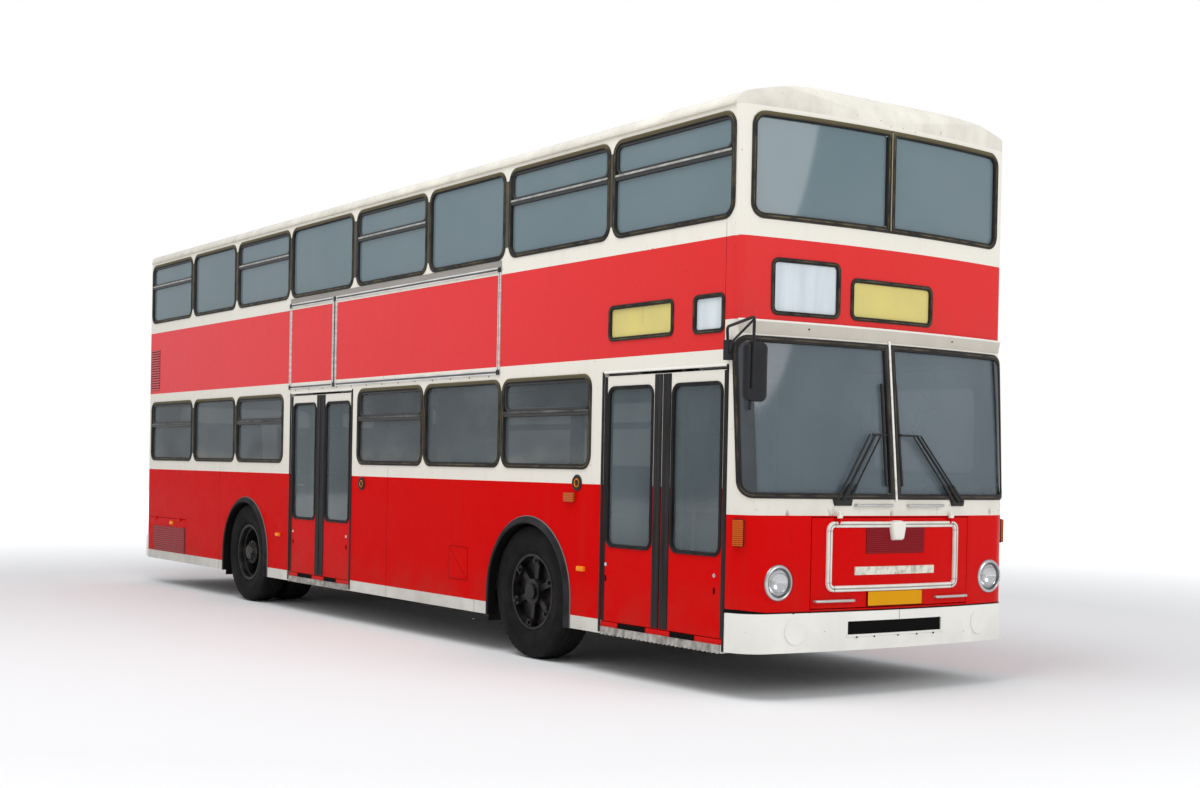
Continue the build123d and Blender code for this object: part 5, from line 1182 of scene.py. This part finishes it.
# ----- door surrounds
# Black jamb rubbers round each doorway, a painted rain lip over it in a lighter enamel that is a painted
# highlight, a fixed red toe plate with two slots under the leaves drawn as dark strips of painted shade,
# and a scalloped sill rolled from ribbed aluminium.
sill_metal = mottled("ribbed_sill_aluminium", 0.42, "rail_aluminium", (188, 186, 180), (118, 112, 102),
                     (18.0, 5.0), (0.35, 0.7), 0.7)
toe_red = enamel("toe_plate_enamel", 0.2, [(0.0, LOWER_RED)], 1.2)
SILL_FOOT, SILL_TOP = 0.288, 0.345
JAMB_Z = (0.305, 2.160)
SLOT_SHARES = ((0.155, 0.392), (0.594, 0.788))    # of the doorway's width
TOE_SECTION = mm(330, -30, 330, -6, 333, -4, 377, -4, 380, -6, 380, -30)
TOE_SLOT = mm(345, -6, 347, -1, 379, -1, 381, -6)
DOOR_JAMB = mm(-20, -1, -18, 5, -10, 7.5, 0, 6, 4, 1, 4, -1)
RAIN_LIP = mm(2150, -20, 2150, 3, 2153, 5, 2160, 5, 2166, 1, 2166, -20)


def ribbed_sill(x0, x1, ribs=28, between=9):
    """Sill face: its height off the wall follows the size of a sine along the bus, a rib a half
    wave, and the lower edge rises between ribs by the same sine."""
    s = np.linspace(x0, x1, ribs * between + 1)[:, None]
    wave = np.abs(np.sin(np.pi * ribs * (s - x0) / (x1 - x0)))
    foot = SILL_FOOT + 0.007 * (1 - wave)
    t = foot + np.array([0.0, 0.0, 0.5, 0.92, 1.0, 1.0]) * (SILL_TOP - foot)
    face = 0.004 + 0.006 * wave
    flat = 0 * wave
    return sheet_part(kerb(s, t, np.hstack([flat - 0.001, face, face, face, flat + 0.005, flat - 0.001])))


for door, jamb0, jamb1 in DOORWAYS:
    wide = jamb1 - jamb0
    piece(f"{door}_sill", [ribbed_sill(jamb0 + 0.012, jamb1 - 0.018)], sill_metal, close=False)
    piece(f"{door}_toe_plate", [bar((jamb0 + 0.004, jamb1 - 0.004), TOE_SECTION, kerb)], toe_red)
    # the slots are dark strips raised on the plate: painted shade inside them
    piece(f"{door}_toe_slot_shades", [bar((jamb0 + a * wide, jamb0 + b * wide), TOE_SLOT, kerb)
                                for a, b in SLOT_SHARES], dark_joint)
    piece(f"{door}_jamb_rubbers", [bar(JAMB_Z, DOOR_JAMB * (way, 1) + (edge, 0), kerb, upright=True)
                                   for edge, way in ((jamb0, 1), (jamb1, -1))], edge_rubber)
    # the rain lip is in the lighter highlight enamel: a painted highlight along the lip
    piece(f"{door}_rain_lip", [bar((jamb0, jamb1), RAIN_LIP, kerb)], highlight_paint)

LOCK = mm(14, -1, 14, 3, 11, 5.5, 6, 5.5, 5, 3, 0.5, 3)
LOCK_Z = 0.790
for (door, leaf), x in zip(LEAVES, (3.955, 5.180, -1.442, -0.250)):
    at = (x, -HALF_WIDTH - LEAF_FACE, LOCK_Z)
    piece(f"{door}_{leaf}_lock", [turned(LOCK, at, TO_KERB, 20)], chrome, f"{door}_{leaf}_leaf")
    key_slot = pad((x - 0.008, x + 0.008, 0.668, 0.712), 0.0078, mm(0, -1, 0, 3, 2, 4) + (0, LEAF_FACE), kerb, 5)
    piece(f"{door}_{leaf}_key_slot", [key_slot], dark_joint, f"{door}_{leaf}_leaf")

# ----- advertising rails
# Extruded aluminium channels that hold posters: two bright lips with a slot between, darkened with
# painted shade, screwed on about every thirty centimetres, with black clamps where the rails meet, a dark
# strip of painted shade in the gap between the twin posts, and a weathered flange from the upper rail
# to the windows.
RAIL_POSTS = [(-1.566, -1.528), (-0.588, -0.560), (-0.528, -0.500), (2.430, 2.466)]
RAIL_ROWS = (2.216, 3.026)
CLAMPS_X = (-1.545, -0.543, 2.447)
SCREW_PITCH = 0.31
rail_metal = Finish("rail_aluminium", 0.40, 0.30, "rail_aluminium")
streak = rail_metal.ramp(rail_metal.noise(8.0, 5.0, (0.4, 1.0, 4.0)), 0.35, 0.75)
# painted shade: the recessed slot between the lips is darkened
slot_shade = rail_metal.times(rail_metal.band(rail_metal.across(), 0.40, 0.42, 0.58, 0.60), 0.85)
rail_metal.colour(rail_metal.mix(slot_shade, rail_metal.mix(streak, linear(228, 228, 226), linear(180, 178, 172)),
                                 linear(34, 33, 32)))


def channel(low, high):
    """Section between two heights: lip, slot and lip, each lip rolled."""
    middle, half = (low + high) / 2, (high - low) / 2
    return np.array([(low, -0.001), (low, 0.008), (low + 0.003, 0.0115),
                     (middle - 0.40 * half, 0.0115), (middle - 0.32 * half, 0.003),
                     (middle + 0.32 * half, 0.003), (middle + 0.40 * half, 0.0115),
                     (high - 0.003, 0.0115), (high, 0.008), (high, -0.001)])


flange_foot, flange_head = RAIL_ROWS[1] + 0.019, UPPER_GLASS_Z[0] - 0.001
flange_section = [(flange_foot, -0.001), (flange_foot, 0.004), (flange_head, 0.003), (flange_head, -0.001)]
rails, clamps, screws, gap_shades, flanges = [], [], [], [], []
for side in (-1, 1):
    place = on_side(side)
    for before, after in (RAIL_POSTS[:2], RAIL_POSTS[2:]):
        rails += [bar((before[1], after[0]), channel(row - 0.019, row + 0.021), place) for row in RAIL_ROWS]
    rails += [bar((RAIL_ROWS[0] - 0.020, RAIL_ROWS[1] + 0.022), channel(*post), place, upright=True)
              for post in RAIL_POSTS]
    clamps += [pad((x - 0.026, x + 0.026, row - 0.021, row + 0.021), 0.006, mm(0, 9, 0, 11.2, 3, 11.8), place)
               for row in RAIL_ROWS for x in CLAMPS_X]
    screws += [turned(mm(6, -1, 6, 2, 3, 3.5, 0.5, 3.5), (x, side * HALF_WIDTH, RAIL_ROWS[0] - 0.028),
                      (0.0, side, 0.0), 10) for x in np.arange(-1.42, 2.40, SCREW_PITCH)]
    gap_shades.append(bar((RAIL_ROWS[0] - 0.019, RAIL_ROWS[1] + 0.021), block(-0.561, -0.527, 0.003), place,
                    upright=True))
    flanges.append(bar((RAIL_POSTS[0][0], RAIL_POSTS[3][1]), flange_section, place))
weathered = mottled("weathered_flange", 0.55, "rail_aluminium", (132, 127, 122), (164, 159, 153),
                    (5.0, 4.0, (0.5, 1.0, 2.0)), metallic=0.10, gloss=0.2)
piece("poster_rail_gap_shade", gap_shades, dark_joint)
piece("poster_rail_flanges", flanges, weathered)
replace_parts(piece("poster_rails", rails, rail_metal), "advert_rails")
piece("poster_rail_clamps", clamps, black_plastic)
piece("poster_rail_screws", screws, dark_joint)

# ----- panel seams and flaps
# Butt joints between the side panels, the fuel flap in the lower side, dark red cooling slats over
# the engine, and the shadowed slats of the air intake behind the upper saloon.
SEAM_HALF = 0.0012
# each seam: where it lies along the bus, its foot and its head
SEAMS = [(-4.245, 0.300, 0.388), (-3.376, 0.300, 1.440), (2.130, 0.300, 0.390), (5.250, 2.265, 3.080),
         (0.585, 0.300, 1.440)]
piece("side_panel_seams", [bar((x - SEAM_HALF, x + SEAM_HALF), block(z0, z1, 0.0006), on_side(side))
                           for side in (-1, 1) for x, z0, z1 in SEAMS], dark_joint)
FUEL_FLAP = (1.705, 2.015, 0.535, 0.810)
flap_loop = rounded_loop(*FUEL_FLAP, 0.012, 4, 2)
piece("fuel_flap_gap", [carried(flap_loop, block(0.0, -0.003, 0.0007), on_side(side)) for side in (-1, 1)],
      dark_joint)
piece("fuel_flaps", [lozenge(flap_loop, mm(4, -1, 4, 1, 6, 1.8, 14, 1.8), on_side(side)) for side in (-1, 1)],
      side_paint)

slat_red = mottled("shaded_slat_red", 0.5, "body_paint", (110, 20, 24), (142, 30, 34), (6.0, 4.0))
slat_pink = mottled("faded_slat_red", 0.5, "body_paint", (206, 84, 86), (188, 70, 74), (6.0, 4.0))
slat_gap = Finish("slat_shadow", 0.8, slot="body_paint").colour(linear(58, 12, 14))
for hand, side in HANDS:
    body = f"{hand}_engine_flap"
    piece(f"{hand}_flap_slat_shadow", [bar((-5.462, -4.412), block(0.396, 0.693, 0.0015), on_side(side))],
          slat_gap, body)
    piece(f"{hand}_flap_slats", [bar((-5.452, -4.422), mm(0, 0, -3, 7.5, 10, 6.5, 16, 1) + (z, 0), on_side(side))
                                 for z in np.arange(0.408, 0.680, 0.024)], slat_red, body)
piece("intake_shadow", [bar((-5.630, -5.330), block(2.300, 2.772, 0.001), on_side(side)) for side in (-1, 1)],
      slat_gap)
piece("intake_louvres", [bar((-5.626, -5.334), mm(1, 0, -3, 9.5, 10, 8.5, 16, 1.5) + (z, 0), on_side(side))
                         for side in (-1, 1) for z in np.arange(2.305, 2.770, 0.029)], slat_pink)

# ----- bumper fittings
# A black tray behind the bumper slot, the rolled lip under the slot with its small bolts, the upright
# joint over it, two round covers painted with the bumper, and bolt heads where the bumper has come
# away from the apron and in the header.
BUMPER_NOSE = 5.600


def on_bumper(s, t, h):
    """Like round_nose at one plan for every height, along the bumper's own nose."""
    s, t, h = spread(s, t, h)

    def base(p):
        x, y = nose_plan(BUMPER_NOSE, LOWER_CORNER, np.clip(np.abs(p), 0, 2))
        return np.stack([x, y * np.sign(p)], axis=-1)

    along = base(s + NORMAL_STEP) - base(s - NORMAL_STEP)
    out = np.stack([along[..., 1], -along[..., 0]], axis=-1)
    out /= np.linalg.norm(out, axis=-1, keepdims=True)
    return np.concatenate([base(s) + out * h[..., None], t[..., None]], axis=-1)


def on_disc(s, t, h):
    """Bumper place with s as the true width, by the flat bow's own share of its width."""
    share = np.linspace(-1, 1, 401)
    width = nose_plan(BUMPER_NOSE, LOWER_CORNER, np.abs(share))[1] * np.sign(share)
    return on_bumper(np.interp(s, width, share), t, h)


# ends of the slot as shares of the flat bow's half width
SLOT = np.array([-0.430, 0.450]) / (HALF_WIDTH - LOWER_CORNER)
SLOT_LIP = mm(396, -30, 392, 0, 395, 7.5, 402, 9, 408, 6, 409, -30)
piece("slot_lip", [bar(SLOT, SLOT_LIP, on_bumper, 24)], bumper_paint)
tray = block(0.401, 0.4955, -0.010, -0.012)
piece("slot_backing", [bar((SLOT[0] + 0.001, SLOT[1] - 0.001), tray, on_bumper, 12)], dark_joint)
BOLT = mm(6, -1, 6, 4, 4, 5.5, 0.5, 6)
bolts_at = [(5.601, y, 0.390) for y in (-0.36, -0.20, 0.02, 0.20, 0.36)]
bolts_at += [(5.562, -0.745, 0.566), (5.552, -0.880, 0.563)]
piece("bumper_bolts", [turned(BOLT, at, steps=10) for at in bolts_at], dark_joint)
joint = on_bumper([0.029, 0.0315], [[0.498], [0.560]], 0.0012)
piece("bumper_middle_joint", [sheet_part(joint)], dark_joint, close=False)
DISC_Y, DISC_Z = 0.860, 0.440
r, h = mm(86, -2, 85.5, 8, 81, 11.5, 70, 11.5, 64, 9.5, 0.5, 9.5).T
rim = np.linspace(0, 2 * np.pi, 48, endpoint=False)[:, None]
discs = [on_disc(side * DISC_Y + r * np.cos(rim), DISC_Z + r * np.sin(rim), h) for side in (-1, 1)]
piece("bumper_discs", [sheet_part(disc, wrap_u=True) for disc in discs], bumper_paint)
piece("header_bolts", [turned(BOLT, on_nose(y, 2.408, 0.0145), steps=10) for y in (-0.705, 0.635)], dark_joint)

# ----- tail lamps
# Each corner of the tail carries a tall lamp: amber above red above a clear reversing light, all
# ribbed, in a black frame screwed to the panel.
FRAME_LEVELS, TAIL_LEVELS = mm(0, -1, 0, 10, 3, 14, 10, 14), mm(0, 12, 0, 22, 4, 26.5, 8, 27.5)
TAIL_INNER, TAIL_OUTER = 1.010, 1.130
tail_red = ribbed_lens("tail_red_lens", 0.22, "y", 320.0, (150, 8, 10), (196, 22, 20))
tail_clear = ribbed_lens("tail_clear_lens", 0.2, "y", 320.0, (190, 192, 192), (224, 226, 226))
for kind, finish, z0, z1, edge, radius, levels, between in (
        ("amber", amber, 0.960, 1.070, 0.009, 0.012, TAIL_LEVELS, 1),
        ("red", tail_red, 0.828, 0.952, 0.009, 0.012, TAIL_LEVELS, 1),
        ("clear", tail_clear, 0.710, 0.820, 0.009, 0.012, TAIL_LEVELS, 1),
        ("frame", black_plastic, 0.700, 1.080, 0.0, 0.016, FRAME_LEVELS, 2)):
    windows = [(*sorted((side * (TAIL_INNER + edge), side * (TAIL_OUTER - edge))), z0, z1) for side in (-1, 1)]
    piece(f"tail_lamps_{kind}", [pad(window, radius, levels, on_tail, 4, between) for window in windows], finish)

# ----- saloon floors and stairs
# Dark lino on both decks and on the wheel boxes; pale scuffed stairs, with a screen of the same
# plastic over a brown board on their aisle side.
lino = mottled("worn_lino", 0.7, None, (62, 62, 60), (92, 88, 82), (3.0, 4.0), (0.3, 0.75))
dress(lino, "lower_floor", "upper_floor", "wheel_boxes")
stair_panel = mottled("scuffed_stair_panel", 0.5, "inside_plastic", (222, 220, 210), (168, 160, 146),
                      (5.0, 5.0, (1.0, 1.0, 0.5)), (0.45, 0.7))
dress(stair_panel, "stairs")
brown_board = mottled("brown_board", 0.6, "inside_plastic", (118, 88, 66), (88, 64, 50),
                      (6.0, 4.0, (1.0, 1.0, 0.2)))
piece("stair_side_screen", [board(mm(-1310, 2300, -600, 2300, -566, 1724, -830, 1724), 0.580, 0.592)],
      stair_panel, bevel=0.003)
piece("stair_screen_foot", [board(mm(-840, 1723.5, -558, 1723.5, -558, 1504, -840, 1504), 0.578, 0.594)],
      brown_board, bevel=0.003)

# ----- seats
# Moulded grey shells on pedestals with foam cushions and backs, covered in a short dark woven pile;
# each pad is blown up by cloth simulation and carried to every place.
dress(mottled("seat_shell", 0.5, None, (96, 98, 98), (122, 122, 118), (6.0, 4.0)), "seat_frames")
moquette = Finish("seat_moquette", 0.9, slot="seat_cover").set("Sheen Weight", 0.3)
threads = [moquette.math("SINE", moquette.times(way, 900.0))
           for way in (moquette.y, moquette.math("ADD", moquette.x, moquette.z))]
weave = moquette.ramp(moquette.times(*threads), -1.0, 1.0)
worn = moquette.mix(moquette.ramp(moquette.noise(4.0, 4.0), 0.4, 0.75), linear(92, 58, 44), linear(120, 84, 62))
moquette.colour(moquette.mix(weave, worn, linear(70, 46, 38)))
moquette.bump(weave, 0.0012, 0.8)
# double seats of the lower saloon: x, side and floor height
LOWER_SEATS = [(0.330, -1, 0.520), (1.080, -1, 0.520), (1.830, -1, 0.520), (1.830, 1, 0.520), (1.080, 1, 0.520),
               (0.330, 1, 0.520), (-0.420, 1, 0.520), (-1.130, 1, 0.520), (-4.200, -1, 0.950), (-4.200, 1, 0.950),
               (-5.150, -1, 0.950), (-5.150, 1, 0.950)]
# openings in the upper floor over the stairs: aft and fore end
STAIR_HOLES = [(2.267, 3.967), (-3.300, -1.600)]
SEAT_Y, SEAT_HALF, UPPER_FLOOR = 0.735, 0.405, 2.360
CUSHION = mm(216, 362, 216, 418, -143, 418, -190, 362)
BACK = mm(-200, 372, -154, 434, -217, 922, -277, 922)
PAD_RISE = 0.010


def seat_places():
    """Place of every double seat: the lower saloon's list, then both rows of the upper one."""
    places = [(x, side * SEAT_Y, floor) for x, side, floor in LOWER_SEATS]
    for x in 4.680 - 0.780 * np.arange(13):
        places.append((x, -SEAT_Y, UPPER_FLOOR))
        if all(not x0 - 0.420 < x < x1 + 0.380 for x0, x1 in STAIR_HOLES):
            places.append((x, SEAT_Y, UPPER_FLOOR))
    return places


def blown_pad(name, profile, half, rise):
    """One foam pad: its profile carried across the seat, remeshed, then swollen by a cloth under
    pressure with gravity off; no point moves further than the rise."""
    x = profile[:, 0]
    points, faces, _ = board(profile, -half, half)
    mesh = bpy.data.meshes.new(name)
    mesh.from_pydata(points.tolist(), [], faces)
    pad = bpy.data.objects.new(name, mesh)
    bpy.context.scene.collection.objects.link(pad)
    remesh = pad.modifiers.new("remesh", "REMESH")
    remesh.mode, remesh.voxel_size = "VOXEL", 0.024
    solid = bpy.data.meshes.new_from_object(pad.evaluated_get(bpy.context.evaluated_depsgraph_get()))
    pad.modifiers.clear()
    pad.data = solid
    rest = np.array([v.co[:] for v in solid.vertices])
    cloth = pad.modifiers.new("cloth", "CLOTH")
    cloth.settings.use_pressure = True
    cloth.settings.uniform_pressure_force = 4.0
    cloth.settings.effector_weights.gravity = 0.0
    for step in range(1, 21):
        bpy.context.scene.frame_set(step)
    swollen = bpy.data.meshes.new_from_object(pad.evaluated_get(bpy.context.evaluated_depsgraph_get()))
    bpy.context.scene.frame_set(1)
    moved = np.array([v.co[:] for v in swollen.vertices]) - rest
    far = np.linalg.norm(moved, axis=1, keepdims=True)
    shape = rest + moved * np.minimum(1.0, rise / np.maximum(far, 1e-9))
    shape[:, 0] = np.clip(shape[:, 0], x.min() - 0.004, x.max() + 0.006)
    shape[:, 1] = np.clip(shape[:, 1], -half - 0.008, half + 0.008)
    faces = [list(face.vertices) for face in swollen.polygons]
    bpy.data.objects.remove(pad)
    return shape, faces


for kind, profile in (("seat_cushions", CUSHION), ("seat_backs", BACK)):
    shape, faces = blown_pad(f"{kind}_form", profile, SEAT_HALF, PAD_RISE)
    parts = [(shape + place, faces, np.zeros(len(shape))) for place in seat_places()]
    pads = piece(kind, parts, moquette, smooth=60, close=False)
    if kind == "seat_cushions":
        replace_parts(pads, "seat_pads")

# ----- cab and poles
# Grey moulded dashboard, screen and half door round the driver, a bank of dials, a black steering
# wheel, and pale enamelled poles with a curved rail and a ticket box beside the front door.
dress(mottled("cab_plastic", 0.55, None, (74, 76, 78), (104, 102, 98), (9.0, 4.0)), "cab_fittings")
dress(black_plastic, "steering_wheel")
pole_paint = mottled("pole_enamel", 0.35, "inside_plastic", (214, 212, 200), (170, 162, 146), (10.0, 4.0),
                     (0.4, 0.8))
dress(pole_paint, "grab_poles")
piece("door_grab_rail", [tube([(4.398, -0.800, 0.540), (4.398, -0.800, 1.235), (4.760, -0.800, 1.260),
                               (4.800, -0.800, 0.540)], 0.016, 0.11)], pole_paint)
piece("ticket_box", [box(4.30, 4.44, -0.46, -0.34, 1.20, 1.52)], stair_panel, bevel=0.012)
dial_glass = Finish("dial_face", 0.3, slot="inside_plastic").colour(linear(22, 22, 24))
DIAL = mm(50, -2, 50, 8, 45, 10, 43, 4, 0.5, 3)
DASH_SLOPE = (-0.376, 0.0, 0.927)
piece("dashboard_dials", [turned(DIAL, (5.215, y, 1.171), DASH_SLOPE, 24) for y in (0.56, 0.68, 0.80, 0.92)],
      dial_glass)

# ----- running gear
# Ladder frame, axles and engine in black chassis paint under oil and road dust, with bare steel
# arms between the door posts and leaves.
chassis_black = mottled("chassis_paint", 0.7, None, (26, 25, 24), (70, 62, 52), (5.0, 5.0), (0.4, 0.7),
                        grain=(60.0, 4.0, 0.001, 0.5))
dress(chassis_black, "chassis_frame", "front_axle", "rear_axle")
dress(mottled("engine_casting", 0.6, None, (96, 100, 98), (40, 34, 28), (6.0, 5.0), (0.4, 0.65), 0.3,
              grain=(40.0, 4.0, 0.002, 0.6)), "engine_block")
dress(mottled("door_arm_steel", 0.4, None, (120, 120, 120), (80, 78, 74), (12.0, 4.0), metallic=0.6),
      *[f"{door}_{leaf}_arms" for door, leaf in LEAVES])

# ----- rear hubs
# Planetary hubs stand in the deep rear dishes: a turned cover under ten hexagon bolts, and round it
# the pressed steps of the rim where its two halves overlap.
HUB_FACE, HUB_BOLTS_R = TYRE_MIDDLE + 0.065, 0.098
HUB_COVER = mm(113, -10, 119, 0, 119, 10, 112, 14, 82, 16, 78, 22, 76, 44, 66, 54, 30, 58, 1, 58)
HUB_BOLT = mm(12, 6, 12, 26, 9, 30, 1, 30)
RIM_STEPS = mm(273.5, 44, 266, 42, 262, 30, 262, -5, 250, -16, 247, -40, 247, -180)
hub_iron = mottled("hub_iron", 0.5, "wheel_paint", (22, 22, 23), (74, 72, 68), (28.0, 5.0), (0.42, 0.62), 0.2, 0.3,
                   (60.0, 4.0, 0.0015, 0.5))
turns = 2 * np.pi * np.arange(10) / 10
for hand, side in HANDS:
    body = f"rear_{hand}_wheel"
    middle, outward = np.array([AXLES[1], side * HUB_FACE, TYRE_R]), (0.0, side, 0.0)
    around = np.stack([np.cos(turns), 0 * turns, np.sin(turns)], axis=-1)
    piece(f"rear_{hand}_hub_cover", [turned(HUB_COVER, middle, outward)], hub_iron, body)
    piece(f"rear_{hand}_hub_bolts", [turned(HUB_BOLT, at, outward, 6) for at in middle + HUB_BOLTS_R * around],
          hub_iron, body, smooth=20)
    piece(f"rear_{hand}_rim_steps", [turned(RIM_STEPS, middle, outward, 72)], wheel_paint, body)

# ----- splash guards
# A ribbed rubber flap hangs from the aft wall of each wheel box and keeps road water off the
# underfloor; its foot is swept a little aft.
GUARD_BACK, GUARD_FOOT = 0.630, 0.235
GUARD_TOPS = (0.500, 0.670)


def splash_guard(x, side, top):
    """Height falls from the top to the foot; the sheet bows aft with the square of that fall and has
    small ribs, a cosine across its width."""
    fall = np.linspace(0.0, 1.0, 9)[:, None]
    width = np.linspace(0.0, 1.0, 81)
    aft = x - GUARD_BACK - 0.020 * fall ** 2 + 0.0025 * np.cos(2 * np.pi * 20 * width)
    layers = [np.stack(spread(aft + shift, side * (1.200 - 0.46 * width), top - (top - GUARD_FOOT) * fall), axis=-1)
              for shift in (0.004, -0.004)]
    return sheet_part(np.concatenate([layers[0], layers[1][::-1]]), wrap_u=True)


guard_rubber = mottled("guard_rubber", 0.8, "black_plastic", (16, 16, 17), (48, 44, 38), (6.0, 5.0), (0.35, 0.7),
                       gloss=0.1)
piece("splash_guards", [splash_guard(x, side, top) for x, top in zip(AXLES, GUARD_TOPS) for side in (-1, 1)],
      guard_rubber, smooth=60)
